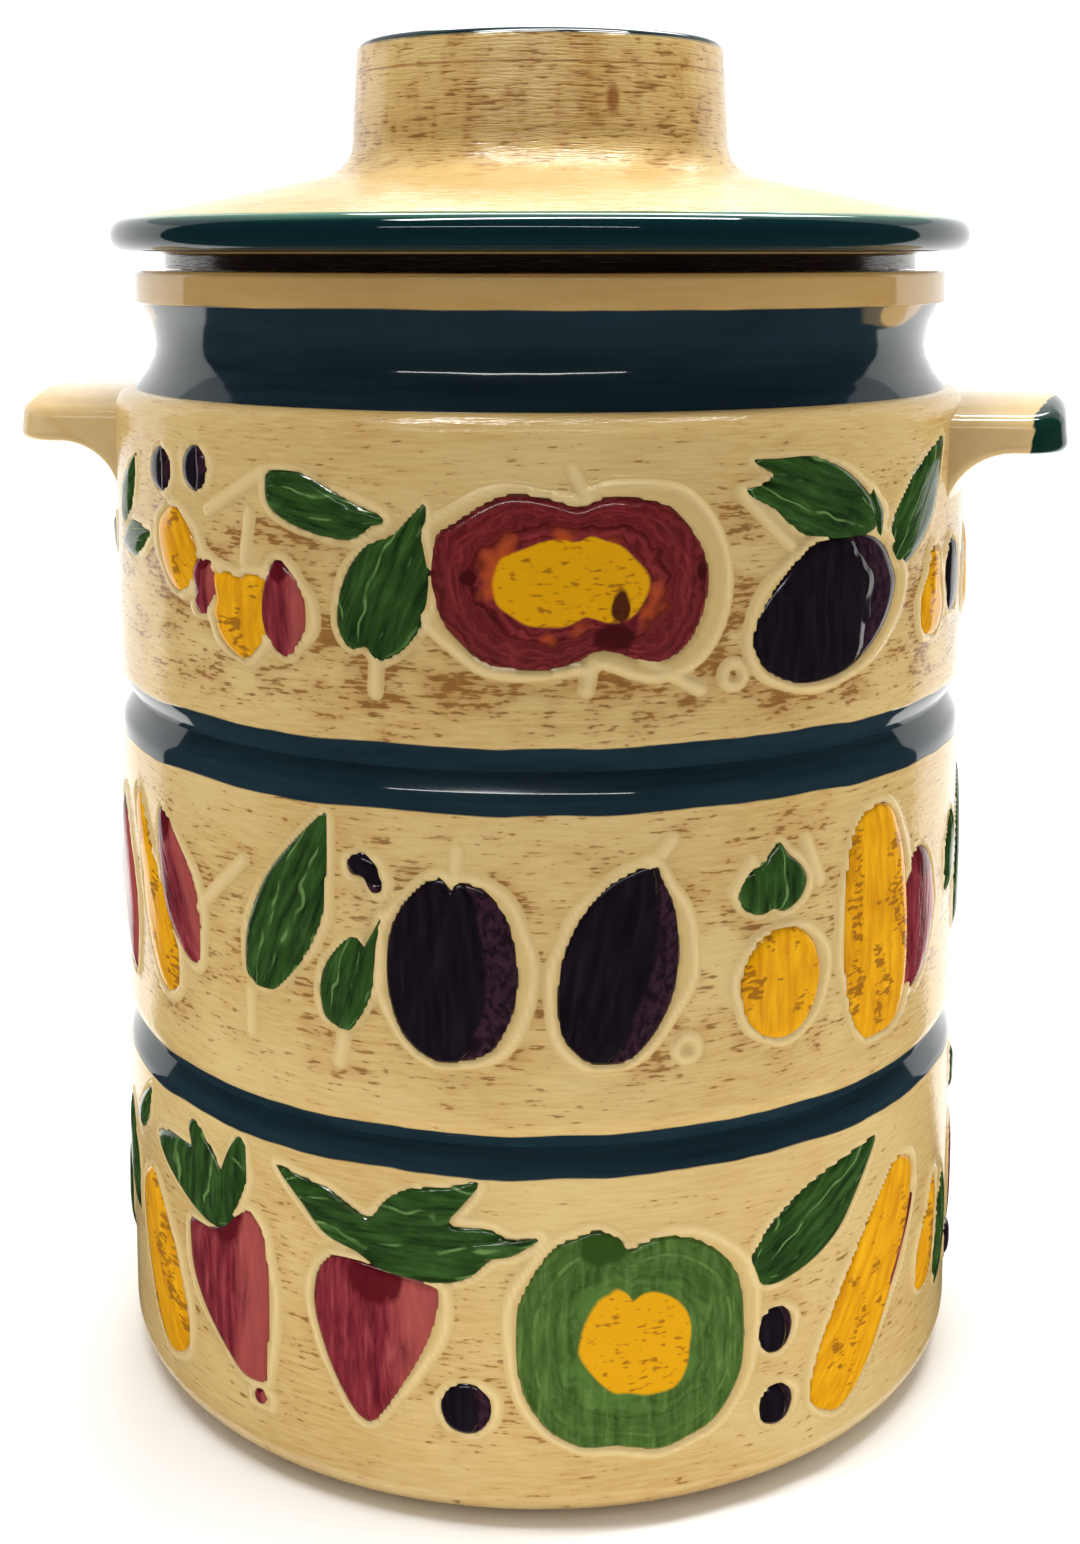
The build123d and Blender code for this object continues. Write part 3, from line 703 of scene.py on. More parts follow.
def combed_cream(tree, spot, wash, pitch, length):
    """Colour and comb height of the cream ground, with brown stain left in the comb marks."""
    comb = streaks(tree, spot, length, pitch, 2)
    dashes = streaks(tree, spot, length * .4, pitch, 1, 5)
    patches = streaks(tree, spot, 13, 7, 2, 9)
    clouds = streaks(tree, spot, 40, 26, 2, 13)
    ground = laid_over(tree, "#C39E60", "#CCAF72", comb, .34, .66)
    pale = laid_over(tree, ground, "#DCC48A", clouds, .4, .7, (0, .5))
    both = add_node(tree, "Math", {0: comb, 1: dashes}, operation="ADD")
    patchy = add_node(tree, "MapRange", {"Value": patches, "From Min": .36, "From Max": .64,
                                         "To Min": .3, "To Max": 1.3})
    amount = add_node(tree, "Math", {0: wash, 1: patchy}, operation="MULTIPLY")
    washed = laid_over(tree, pale, "#AC8042", amount, .45, 1.3, (0, .7))
    level = add_node(tree, "Math", {0: amount, 1: .34, 2: .66}, operation="MULTIPLY_ADD")
    gap = add_node(tree, "Math", {0: level, 1: both}, operation="SUBTRACT")
    brown = add_node(tree, "Mix", {"Factor": dashes, 6: "#6A3D10", 7: "#94601F"}, data_type="RGBA")
    return laid_over(tree, washed, brown, gap, -.03, .13, (0, .75)), both


# Combed cream glaze of the drums. A brown stain is wiped over the comb marks and stays in them, most of
# all beside the smooth ribs. The crests of the ribs carry a painted highlight in lighter cream. Navy glaze
# is brushed into the grooves, thick and very glossy.
def drum_glaze():
    material, tree = new_glaze("combed_cream_and_navy_glaze")
    spot, _, place = wheel_position(tree)
    ground, stain, crest_highlight = (add_node(tree, "Attribute", attribute_name=name).outputs["Fac"]
                            for name in ("ground", "stain", "crest_highlight"))
    beyond = add_node(tree, "MapRange", {"Value": ground, "From Min": 0, "From Max": .6 * MM},
                      interpolation_type="SMOOTHSTEP")
    wash = add_node(tree, "Math", {0: beyond, 1: stain}, operation="MULTIPLY")
    combed, comb = combed_cream(tree, spot, wash, .7, 6)
    ribbed = add_node(tree, "Mix", {"Factor": beyond, 6: "#CBAD71", 7: combed}, data_type="RGBA")
    # Painted highlight: the crests of the ribs and stem lines are painted a lighter cream.
    crest = add_node(tree, "Math", {0: crest_highlight, 1: .75}, operation="MULTIPLY")
    cream = add_node(tree, "Mix", {"Factor": crest, 6: ribbed, 7: "#E3CC98"}, data_type="RGBA")
    wave = streaks(tree, spot, 22, WAVE_HEIGHT, 2, 21)
    height = add_node(tree, "Math", {0: wave, 1: 2.4 * MM, 2: place["Z"]}, operation="MULTIPLY_ADD")
    bands = []
    for low, high in (LOWER_BAND, UPPER_BAND):
        above, below = (
            add_node(tree, "MapRange", {"Value": height, "From Min": (edge + 1.1) * MM,
                                        "From Max": (edge + 1.4) * MM, "To Min": outside,
                                        "To Max": 1 - outside})
            for edge, outside in ((low, 0), (high, 1)))
        bands.append(add_node(tree, "Math", {0: above, 1: below}, operation="MULTIPLY"))
    band = add_node(tree, "Math", {0: bands[0], 1: bands[1]}, operation="MAXIMUM")
    navy = add_node(tree, "Mix", {"Factor": streaks(tree, spot, 30, 2, 3, 31), 6: "#0C1820",
                                  7: "#21363F"}, data_type="RGBA")
    painted = add_node(tree, "Mix", {"Factor": band, 6: cream, 7: navy}, data_type="RGBA")
    rough = add_node(tree, "MapRange", {"Value": band, "To Min": .17, "To Max": .06})
    bare = add_node(tree, "Math", {0: 1.0, 1: band}, operation="SUBTRACT")
    depth = add_node(tree, "Math", {0: beyond, 1: bare}, operation="MULTIPLY")
    comb_height = add_node(tree, "Math", {0: comb, 1: depth}, operation="MULTIPLY")
    fire(tree, painted, rough, comb_height, .09)
    return material


# Combed cream glaze of the lid and its collar, with more of the brown stain on the collar. The rolled
# edge is dipped in teal, which runs thin and bright green where it meets the cream. The inside of the
# collar and its lip are dipped too, a fine brown line runs round the collar with one drip below it, and
# the seat under the roll is bare clay, painted near black as painted shade in the gap under the roll.
def lid_glaze():
    material, tree = new_glaze("combed_cream_and_teal_glaze")
    spot, radius, place = wheel_position(tree)
    collar = add_node(tree, "MapRange", {"Value": radius, "From Min": STAIN_FADES[0] * MM,
                                         "From Max": STAIN_FADES[1] * MM, "To Min": .72,
                                         "To Max": .3})
    cream, comb = combed_cream(tree, spot, collar, .55, 18)
    wave = streaks(tree, spot, 30, WAVE_HEIGHT, 2, 3)

    edge = add_node(tree, "Math", {0: wave, 1: 1.2 * MM, 2: radius}, operation="MULTIPLY_ADD")
    dipped = add_node(tree, "MapRange", {"Value": edge, "From Min": DIP_RADIUS * MM,
                                         "From Max": (DIP_RADIUS + .4) * MM})
    near_cream = add_node(tree, "MapRange", {"Value": edge, "From Min": THIN_RADIUS * MM,
                                             "From Max": LID_RADIUS * MM, "To Min": 1, "To Max": 0})
    on_top = add_node(tree, "MapRange", {"Value": place["Z"], "From Min": (LID_ROLL_BOTTOM + 3) * MM,
                                         "From Max": (LID_ROLL_BOTTOM + 5) * MM})
    thin_top = add_node(tree, "Math", {0: near_cream, 1: on_top}, operation="MULTIPLY")
    thin = add_node(tree, "Math", {0: thin_top, 1: dipped}, operation="MULTIPLY")
    teal = add_node(tree, "Mix", {"Factor": thin, 6: "#082226", 7: "#2F7458"}, data_type="RGBA")

    over_floor = add_node(tree, "Math", {0: place["Z"], 1: (RECESS_FLOOR - 3.1) * MM},
                          operation="GREATER_THAN")
    within_collar = add_node(tree, "Math", {0: radius, 1: (RECESS_RADIUS + .8) * MM},
                             operation="LESS_THAN")
    recess = add_node(tree, "Math", {0: over_floor, 1: within_collar}, operation="MULTIPLY")
    lip = add_node(tree, "MapRange", {"Value": place["Z"], "From Min": (KNOB_TOP - 1.9) * MM,
                                      "From Max": (KNOB_TOP - 1.1) * MM})
    roll_or_recess = add_node(tree, "Math", {0: dipped, 1: recess}, operation="MAXIMUM")
    covered = add_node(tree, "Math", {0: roll_or_recess, 1: lip}, operation="MAXIMUM")

    waved = add_node(tree, "Math", {0: wave, 1: .8 * MM, 2: place["Z"]}, operation="MULTIPLY_ADD")
    on_line = add_node(tree, "Math", {0: waved, 1: LINE_HEIGHT_ON_COLLAR * MM, 2: LINE_HALF * MM},
                       operation="COMPARE")
    line = add_node(tree, "Math", {0: on_line, 1: .6}, operation="MULTIPLY")
    off_drip = add_node(tree, "VectorMath", {0: add_node(tree, "TexCoord").outputs["Object"],
                                             1: [side * MM for side in DRIP_PLACE]},
                        operation="SUBTRACT")
    drip_reach = add_node(tree, "VectorMath", {0: off_drip, 1: [1 / (side * MM) for side in DRIP_REACH]},
                          operation="MULTIPLY")
    drip_far = add_node(tree, "VectorMath", {0: drip_reach}, operation="LENGTH").outputs["Value"]
    drip = add_node(tree, "MapRange", {"Value": drip_far, "From Min": .5, "From Max": 1.1,
                                       "To Min": .8, "To Max": 0})
    mark = add_node(tree, "Math", {0: line, 1: drip}, operation="MAXIMUM")
    marked = add_node(tree, "Mix", {"Factor": mark, 6: cream, 7: "#8A4E1C"}, data_type="RGBA")
    painted = add_node(tree, "Mix", {"Factor": covered, 6: marked, 7: teal}, data_type="RGBA")

    # The seat is painted near black: bare clay, darkened as painted shade for the gap under the roll.
    under_roll = add_node(tree, "Math", {0: place["Z"], 1: (LID_ROLL_BOTTOM - .4) * MM},
                          operation="LESS_THAN")
    past_skirt = add_node(tree, "Math", {0: radius, 1: (SKIRT_RADIUS + .3) * MM},
                          operation="GREATER_THAN")
    clay_seat_and_painted_shade = add_node(tree, "Math", {0: under_roll, 1: past_skirt}, operation="MULTIPLY")
    colour = add_node(tree, "Mix", {"Factor": clay_seat_and_painted_shade, 6: painted, 7: "#1E0F0B"}, data_type="RGBA")
    rough = add_node(tree, "MapRange", {"Value": covered, "To Min": .16, "To Max": .06})
    bare = add_node(tree, "Math", {0: 1.0, 1: covered}, operation="SUBTRACT")
    comb_height = add_node(tree, "Math", {0: comb, 1: bare}, operation="MULTIPLY")
    fire(tree, colour, rough, comb_height, .14)
    return material


# Navy glaze of the neck and plain beige glaze of the rim above it, both poured and smooth. The beige is
# darker than the drums' cream, in part painted shade under the lid. Towards each lug a rounded patch
# under the rim is beige instead of navy.
def neck_glaze():
    material, tree = new_glaze("navy_neck_and_beige_rim_glaze")
    spot, radius, place = wheel_position(tree)
    wave = streaks(tree, spot, 26, WAVE_HEIGHT, 2, 17)
    height = add_node(tree, "Math", {0: wave, 1: .8 * MM, 2: place["Z"]}, operation="MULTIPLY_ADD")
    rim = add_node(tree, "MapRange", {"Value": height, "From Min": (RIM_UNDERSIDE + .5) * MM,
                                      "From Max": (RIM_UNDERSIDE + .8) * MM})
    inner = add_node(tree, "MapRange", {"Value": radius, "From Min": BEIGE_RADIUS * MM,
                                        "From Max": (BEIGE_RADIUS + .4) * MM, "To Min": 1,
                                        "To Max": 0})
    covered = add_node(tree, "Math", {0: rim, 1: inner}, operation="MAXIMUM")
    to_side = add_node(tree, "Math", {0: place["X"]}, operation="ABSOLUTE")
    sideways = add_node(tree, "Math", {0: to_side, 1: radius}, operation="DIVIDE")
    across = add_node(tree, "MapRange", {"Value": sideways, "From Min": .845, "From Max": .945,
                                         "To Min": -1, "To Max": 1}, clamp=False)
    down = add_node(tree, "MapRange", {"Value": height, "From Min": RIM_UNDERSIDE * MM,
                                       "From Max": (RIM_UNDERSIDE - 4) * MM}, clamp=False)
    from_patch = add_node(tree, "CombineXYZ", {"X": across, "Y": down})
    patch_far = add_node(tree, "VectorMath", {0: from_patch}, operation="LENGTH").outputs["Value"]
    side_patch = add_node(tree, "MapRange", {"Value": patch_far, "From Min": .85, "From Max": 1,
                                         "To Min": .75, "To Max": 0})
    plain = add_node(tree, "Math", {0: covered, 1: side_patch}, operation="MAXIMUM")
    navy = add_node(tree, "Mix", {"Factor": streaks(tree, spot, 34, 3, 3, 31), 6: "#0E1B22",
                                  7: "#22363F"}, data_type="RGBA")
    # Painted shade in part: the beige of the rim and mouth is darker than the drums' cream, as under the
    # lid.
    beige_with_painted_shade = add_node(tree, "Mix", {"Factor": streaks(tree, spot, 20, 2, 3, 41), 6: "#B08A50",
                                   7: "#C2A167"}, data_type="RGBA")
    colour = add_node(tree, "Mix", {"Factor": plain, 6: navy, 7: beige_with_painted_shade}, data_type="RGBA")
    fire(tree, colour, .07, streaks(tree, spot, 24, 9, 1, 51), .12)
    return material


# Plain cream glaze of the lugs, smooth where hands hold it, with the green dip on the outer end.
def lug_glaze():
    material, tree = new_glaze("smooth_cream_lug_glaze")
    spot, _, place = wheel_position(tree)
    cream = add_node(tree, "Mix", {"Factor": streaks(tree, spot, 10, 6, 3, 61), 6: "#BF9D64",
                                   7: "#D5BB8A"}, data_type="RGBA")
    slanted = add_node(tree, "Math", {0: place["Y"], 1: -.3, 2: place["X"]}, operation="MULTIPLY_ADD")
    outward = add_node(tree, "Math", {0: slanted}, operation="ABSOLUTE")
    ragged = add_node(tree, "Math", {0: streaks(tree, spot, 5, 5, 2, 71), 1: 3 * MM, 2: outward},
                      operation="MULTIPLY_ADD")
    fire(tree, laid_over(tree, cream, "#0C2C22", ragged, LUG_DIP * MM, (LUG_DIP + .4) * MM), .12)
    return material


def daub(tree, side, up, half_width, half_height):
    """A daub of the brush on a sprig. Its place and size are shares of the sprig's own half size."""
    place = add_node(tree, "CombineXYZ", {
        axis: add_node(tree, "Attribute", attribute_name=name).outputs["Fac"]
        for axis, name in (("X", "side"), ("Y", "up"))})
    off = add_node(tree, "VectorMath", {0: place, 1: (side, up, 0)}, operation="SUBTRACT")
    scaled = add_node(tree, "VectorMath", {0: off, 1: (1 / half_width, 1 / half_height, 1)},
                      operation="MULTIPLY")
    far = add_node(tree, "VectorMath", {0: scaled}, operation="LENGTH").outputs["Value"]
    return add_node(tree, "Math", {0: brush_marks(tree, 2, 4, 1, 61), 1: .5, 2: far},
                    operation="MULTIPLY_ADD")


def daubed(tree, colour, paint, place):
    """A colour with a daub of a darker paint at a place on a sprig."""
    return laid_over(tree, colour, paint, daub(tree, *place), 1.0, 1.25, (.96, 0))


def brushed(tree, dark, mid, light):
    """Colour and strokes of an underglaze laid on with a brush: dark where it pools, light where it is
    wiped thin."""
    strokes = brush_marks(tree, 1.6, 11, 3, 3)
    body = laid_over(tree, dark, mid, strokes, .34, .56)
    return laid_over(tree, body, light, strokes, .56, .78, (0, .8)), strokes


# Dark green underglaze of the leaves, with the ribs of the leaf wiped lighter.
def leaf_glaze():
    material, tree = new_glaze("brushed_leaf_green_glaze")
    body, strokes = brushed(tree, "#182D10", "#2B491C", "#456733")
    across = add_node(tree, "Attribute", attribute_name="across").outputs["Fac"]
    bent = add_node(tree, "Math", {0: brush_marks(tree, 7, 9, 1, 37), 1: .7, 2: across},
                    operation="MULTIPLY_ADD")
    nearest = add_node(tree, "Math", {0: bent, 1: .34, 2: -.34}, operation="WRAP")
    off = add_node(tree, "Math", {0: nearest}, operation="ABSOLUTE")
    vein = add_node(tree, "MapRange", {"Value": off, "From Min": .018, "From Max": .05, "To Min": 1,
                                       "To Max": 0})
    strength = add_node(tree, "MapRange", {"Value": brush_marks(tree, 5, 6, 1, 43), "From Min": .45,
                                           "From Max": .6, "To Max": .9})
    broken = add_node(tree, "Math", {0: vein, 1: strength}, operation="MULTIPLY")
    veined = add_node(tree, "Mix", {"Factor": broken, 6: body, 7: "#64854A"}, data_type="RGBA")
    fire(tree, veined, BRUSHED_ROUGHNESS, strokes, STROKE_DEPTH)
    return material


# Aubergine underglaze of the plums: near black, thinner and violet down one side, with the plum's crease
# between the two.
def plum_glaze():
    material, tree = new_glaze("brushed_aubergine_glaze")
    body, _ = brushed(tree, "#0D080E", "#170F18", "#251B28")
    across = add_node(tree, "Attribute", attribute_name="across").outputs["Fac"]
    ragged = add_node(tree, "Math", {0: brush_marks(tree, 6, 8, 1, 57), 1: .4, 2: across},
                      operation="MULTIPLY_ADD")
    mottled = laid_over(tree, "#1C0E18", "#38202C", brush_marks(tree, 1.4, 2.2, 2, 59), .4, .6)
    violet = laid_over(tree, body, mottled, ragged, .68, .76, (0, .9))
    from_crease = add_node(tree, "Math", {0: ragged, 1: .7}, operation="SUBTRACT")
    off_crease = add_node(tree, "Math", {0: from_crease}, operation="ABSOLUTE")
    crease = add_node(tree, "MapRange", {"Value": off_crease, "From Min": 0, "From Max": .09})
    fire(tree, violet, BRUSHED_ROUGHNESS, crease, .35)
    return material


def cut_fruit_glaze(name, dark, mid, light, heart_edge, arc_colour, ring_share, daubs):
    """A cut fruit: strokes that follow its outline, round a yellow heart with brown comb marks. The heart
    ends at a share of the way out, with arcs of a warm colour beside it and dark daubs over all. A thin
    light line just inside the outline is a painted highlight on the raised edge."""
    material, tree = new_glaze(name)
    body, marks = brushed(tree, dark, mid, light)
    rim = add_node(tree, "Attribute", attribute_name="rim").outputs["Fac"]
    blotch = brush_marks(tree, 5, 5, 2, 47)
    shifted = add_node(tree, "Math", {0: marks, 1: .04, 2: rim}, operation="MULTIPLY_ADD")
    uneven = add_node(tree, "Math", {0: blotch, 1: .3, 2: shifted}, operation="MULTIPLY_ADD")
    turns = add_node(tree, "Math", {0: uneven, 1: 10.0}, operation="MULTIPLY")
    rings = add_node(tree, "TexNoise", {"W": turns, "Scale": 1.0, "Detail": 3.0}, noise_dimensions="1D")
    strokes = laid_over(tree, dark, light, rings, .35, .68)
    ringed = add_node(tree, "Mix", {"Factor": ring_share, 6: body, 7: strokes}, data_type="RGBA")

    # Painted highlight: a thin light line just inside the outline, where the raised edge catches the
    # light.
    on_edge = add_node(tree, "Math", {0: rim, 1: .84, 2: .014}, operation="COMPARE")
    edge_here = add_node(tree, "MapRange", {"Value": blotch, "From Min": .42, "From Max": .6,
                                            "To Max": .5})
    painted_edge_highlight = add_node(tree, "Math", {0: on_edge, 1: edge_here}, operation="MULTIPLY")
    skin = add_node(tree, "Mix", {"Factor": painted_edge_highlight, 6: ringed, 7: light}, data_type="RGBA")

    near_heart = add_node(tree, "MapRange", {"Value": uneven, "From Min": heart_edge + .2,
                                             "From Max": heart_edge + .36, "To Min": 1, "To Max": 0})
    here = add_node(tree, "MapRange", {"Value": brush_marks(tree, 9, 9, 1, 53), "From Min": .5,
                                       "From Max": .62, "To Max": .85})
    arc = add_node(tree, "Math", {0: near_heart, 1: here}, operation="MULTIPLY")
    warm = add_node(tree, "Mix", {"Factor": arc, 6: skin, 7: arc_colour}, data_type="RGBA")

    wavy = add_node(tree, "Math", {0: brush_marks(tree, 11, 11, 0, 57), 1: .2, 2: rim},
                    operation="MULTIPLY_ADD")
    specks = streaks(tree, wheel_position(tree)[0], 2.4, .9, 1, 23)
    yellow = laid_over(tree, "#D69A06", "#8A5310", specks, .3, .4, (.75, 0))
    colour = laid_over(tree, warm, yellow, wavy, heart_edge + .09, heart_edge + .115, (1, 0))
    for place in daubs:
        colour = daubed(tree, colour, dark, place)
    fire(tree, colour, BRUSHED_ROUGHNESS, marks, STROKE_DEPTH)
    return material


# Wine-red underglaze of the strawberries, with a wiped pink strip on one side and a dark daub under the
# leaves.
def strawberry_glaze():
    material, tree = new_glaze("brushed_wine_red_glaze")
    body, strokes = brushed(tree, "#581520", "#7E2A32", "#A04C4E")
    across = add_node(tree, "Attribute", attribute_name="across").outputs["Fac"]
    ragged = add_node(tree, "Math", {0: strokes, 1: .5, 2: across}, operation="MULTIPLY_ADD")
    pink = laid_over(tree, body, "#B25850", ragged, .5, .9, (0, .55))
    topped = daubed(tree, pink, "#540C16", (.05, .85, .5, .35))
    fire(tree, topped, BRUSHED_ROUGHNESS, strokes, STROKE_DEPTH)
    return material


# Yellow underglaze of the pears, corn and pods, with brown stain left in comb marks over the middle.
def pear_glaze():
    material, tree = new_glaze("brushed_egg_yellow_glaze")
    body, strokes = brushed(tree, "#C98708", "#DF9F0A", "#EBB41E")
    spot = wheel_position(tree)[0]
    allowed = add_node(tree, "MapRange", {"Value": streaks(tree, spot, 6, 9, 1, 33), "From Min": .45,
                                          "From Max": .6, "To Min": .2, "To Max": .54})
    over = add_node(tree, "Math", {0: allowed, 1: streaks(tree, spot, 2.4, .8, 1, 29)},
                    operation="SUBTRACT")
    specked = laid_over(tree, body, "#8A5514", over, 0, .09, (0, .8))
    fire(tree, specked, BRUSHED_ROUGHNESS, strokes, STROKE_DEPTH)
    return material


# Fruit and leaves on the wall

aubergine = plum_glaze()
wine_red = strawberry_glaze()
apple_red = cut_fruit_glaze("brushed_apple_red_glaze", "#3E0C10", "#5E1719", "#8E3436", .50, "#C0561C", .6,
                            [(.345, -.28, .075, .22), (.3, -.62, .17, .18), (-.71, .05, .07, .1),
                             (.93, .1, .05, .12)])
pepper_green = cut_fruit_glaze("brushed_pepper_green_glaze", "#2A4414", "#44612A", "#6C8A44", .46,
                               "#4E6F30", .25, [(-.28, .86, .25, .17)])

# Name of each piece, the solid that it covers, its sprigs, its glaze and its material slot
FRUIT = [
    ("painted_leaves", "leaf_relief", LEAVES, leaf_glaze(), "leaf_green_glaze"),
    ("painted_plums", "plum_relief", PLUMS, aubergine, "aubergine_glaze"),
    ("painted_berries", "berry_relief", BERRIES, aubergine, "aubergine_glaze"),
    ("painted_apple_halves", "apple_relief", APPLES, apple_red, "burgundy_glaze"),
    ("painted_apple_slices", "apple_relief", APPLE_SLICES, wine_red, "burgundy_glaze"),
    ("painted_strawberries", "strawberry_relief", STRAWBERRIES, wine_red, "burgundy_glaze"),
    ("painted_pepper_halves", "pepper_relief", PEPPERS, pepper_green, "pepper_green_glaze"),
    ("painted_pears", "pear_relief", PEARS, pear_glaze(), "yellow_glaze"),
]
pad = ringed_pad()
for name, node, rows, material, slot in FRUIT:
    piece = relief(name, rows, pad)
    piece.data.materials.append(material)
    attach(piece, "pot")
    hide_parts(node)
bpy.data.objects.remove(pad, do_unlink=True)


# Drums, neck and lid

def groove_side(height, side):
    """Half of a groove: its valley, then the lip of the drum above or below it."""
    return [(DRUM_RADIUS - GROOVE_DEPTH, height, 0),
            (DRUM_RADIUS, height + side * GROOVE_HALF_HEIGHT, GROOVE_LIP)]


def lid_top(radius):
    """Height of the lid's slope at a radius."""
    foot = LID_RADIUS - ROLL_HALF
    return LID_ROLL_TOP + (foot - radius) / (foot - KNOB_FOOT_RADIUS) * LID_SLOPE_RISE


# Name of each drum, its number from the top and the corners of its section
DRUMS = [
    ("bottom_drum", 2, [
        (0, FOOT_HOLLOW, 0), (FOOT_RING_RADIUS, FOOT_HOLLOW, WIPED_EDGE),
        (FOOT_RING_RADIUS, 0, WIPED_EDGE), (DRUM_RADIUS, 0, FOOT_EDGE),
        *groove_side(LOWER_GROOVE, -1)[::-1], (INNER_RADIUS, LOWER_GROOVE, 0),
        (INNER_RADIUS, FLOOR_TOP, FLOOR_FILLET), (0, FLOOR_TOP, 0)]),
    ("middle_drum", 1, [
        (INNER_RADIUS, LOWER_GROOVE, 0), *groove_side(LOWER_GROOVE, 1),
        *groove_side(UPPER_GROOVE, -1)[::-1], (INNER_RADIUS, UPPER_GROOVE, 0)]),
    ("top_drum", 0, [
        (INNER_RADIUS, UPPER_GROOVE, 0), *groove_side(UPPER_GROOVE, 1),
        (DRUM_RADIUS, SHOULDER, SHOULDER_EDGE), (MOUTH_RADIUS, SHOULDER, 0),
        (MOUTH_RADIUS, THROAT_BOTTOM, 2), (INNER_RADIUS, THROAT_BOTTOM - THROAT_SLOPE, 6)]),
]
cream_and_navy = drum_glaze()
for name, drum, corners in DRUMS:
    piece = turned(name, rows_on_wall(rounded(corners)), RELIEF_SEGMENTS)
    raise_ribs(piece, drum)
    piece.data.materials.append(cream_and_navy)
    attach(piece, "pot")
    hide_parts("pot_body")

neck = turned("neck_and_rim", rounded([
    (MOUTH_RADIUS, SHOULDER, 0), *((radius, SHOULDER + height, 0) for radius, height in NECK_WAIST),
    (NECK_TOP_RADIUS, RIM_UNDERSIDE, 0), (RIM_RADIUS, RIM_UNDERSIDE, .5),
    (RIM_RADIUS, RIM_TOP, WIPED_EDGE), (MOUTH_RADIUS, RIM_TOP, WIPED_EDGE)]), PLAIN_SEGMENTS)
neck.data.materials.append(neck_glaze())
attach(neck, "pot")
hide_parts("pot_body")

lid = turned("lid_cover", rounded([
    (0, LID_UNDERSIDE, 0), (RECESS_RADIUS, LID_UNDERSIDE, 6),
    (SKIRT_INNER, lid_top(SKIRT_INNER) - LID_WALL, WIPED_EDGE), (SKIRT_INNER, SKIRT_BOTTOM, WIPED_EDGE),
    (SKIRT_RADIUS, SKIRT_BOTTOM, WIPED_EDGE), (SKIRT_RADIUS, LID_SEAT, 0), (SEAT_RADIUS, LID_SEAT, 0),
    (SEAT_RADIUS, LID_ROLL_BOTTOM, WIPED_EDGE), (LID_RADIUS, LID_ROLL_BOTTOM, ROLL_ROUNDING),
    (LID_RADIUS, lid_top(LID_RADIUS), ROLL_ROUNDING),
    (KNOB_FOOT_RADIUS, lid_top(KNOB_FOOT_RADIUS), KNOB_FOOT_FILLET), (KNOB_FOOT_RADIUS, KNOB_FOOT, 0),
    (RECESS_RADIUS, KNOB_FOOT, 0), (RECESS_RADIUS, RECESS_FLOOR, WIPED_EDGE), (0, RECESS_FLOOR, 0)]),
    PLAIN_SEGMENTS)
knob = turned("knob_collar", rounded([
    (RECESS_RADIUS, KNOB_FOOT, 0), (KNOB_FOOT_RADIUS, KNOB_FOOT, 0), (KNOB_TOP_RADIUS, KNOB_TOP, KNOB_LIP),
    (KNOB_TOP_RADIUS - KNOB_WALL, KNOB_TOP, KNOB_LIP)]), PLAIN_SEGMENTS)
cream_and_teal = lid_glaze()
for piece, node in ((lid, "lid"), (knob, "lid_knob")):
    piece.data.materials.append(cream_and_teal)
    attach(piece, "lid")
    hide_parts(node)

smooth_cream = lug_glaze()
for node in ("left_handle", "right_handle"):
    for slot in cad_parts[node].material_slots:
        slot.material = smooth_cream

# Floor, light and camera

# Section of the floor, which sweeps up behind and beside the pot: radius and height in millimetres
SWEEP = [(0, 0), (900, 0), (1150, 40), (1350, 150), (1480, 320), (1540, 560), (1560, 900),
         (1570, 900), (1550, 560), (1490, 310), (1355, 140), (1155, 30), (900, -10), (0, -10)]

# Strength of the room's own light on the pot, and how bright the camera sees it
DAYLIGHT = 0.6
BACKDROP = 1.05

# The dark room is a shell that bends up and over the front of the pot: the middle and the spread of its
# turn and its bend in degrees, then its least reach, what the bend adds to that, its lowest edge and
# half its height in metres
ROOM_MIDDLE = 8
ROOM_SPREAD = 218
ROOM_BEND = 165
ROOM_NEAR = .095
ROOM_REACH = 1.28
ROOM_FLOOR = .002
ROOM_HALF_HEIGHT = .85

# Width, height and place of the dark card
CARD_SIZE = (1.5, 1.2)
CARD_PLACE = (.05, -.9, .62)

# Name, place, aim, width, depth, watts, whether it lights the pot, whether it shines on its gloss
SOFTBOXES = [
    ("strip_above", (.05, -.1, 1.25), (0, 0, .2), 1.1, .16, 18, True, True),
    ("softbox_behind", (0, .9, 1.2), (0, .2, .2), .9, .45, 11, True, True),
    ("thin_strip_in_front", (0, -.72, .6), (0, 0, .12), .9, .016, 1.2, False, True),
    ("table_bounce", (.03, -.2, .014), (0, 0, .03), .5, .02, .11, True, False),
]

# The camera stands in front of the pot and a little to its right, and looks down a little. Its focal
# length was found in pixels of the photograph, with the photograph's height as the sensor.
CAMERA_PLACE = (.0628, -.4471, .2447)
CAMERA_DROP = 7.1
CAMERA_TURN = 8
CAMERA_SHIFT = -.176
FOCAL_PIXELS = 2000
PHOTO_HEIGHT = 1544
SENSOR = 36


def matt(name, colour):
    """A matt paper or card of one colour."""
    material = bpy.data.materials.new(name)
    material.use_nodes = True
    shader = material.node_tree.nodes["Principled BSDF"]
    shader.inputs["Base Color"].default_value = linear(colour)
    shader.inputs["Roughness"].default_value = .9
    return material


floor = turned("floor", SWEEP, 96)
bpy.ops.object.shade_smooth()
floor.data.materials.append(matt("matt_white_paper", "#F7F6F4"))

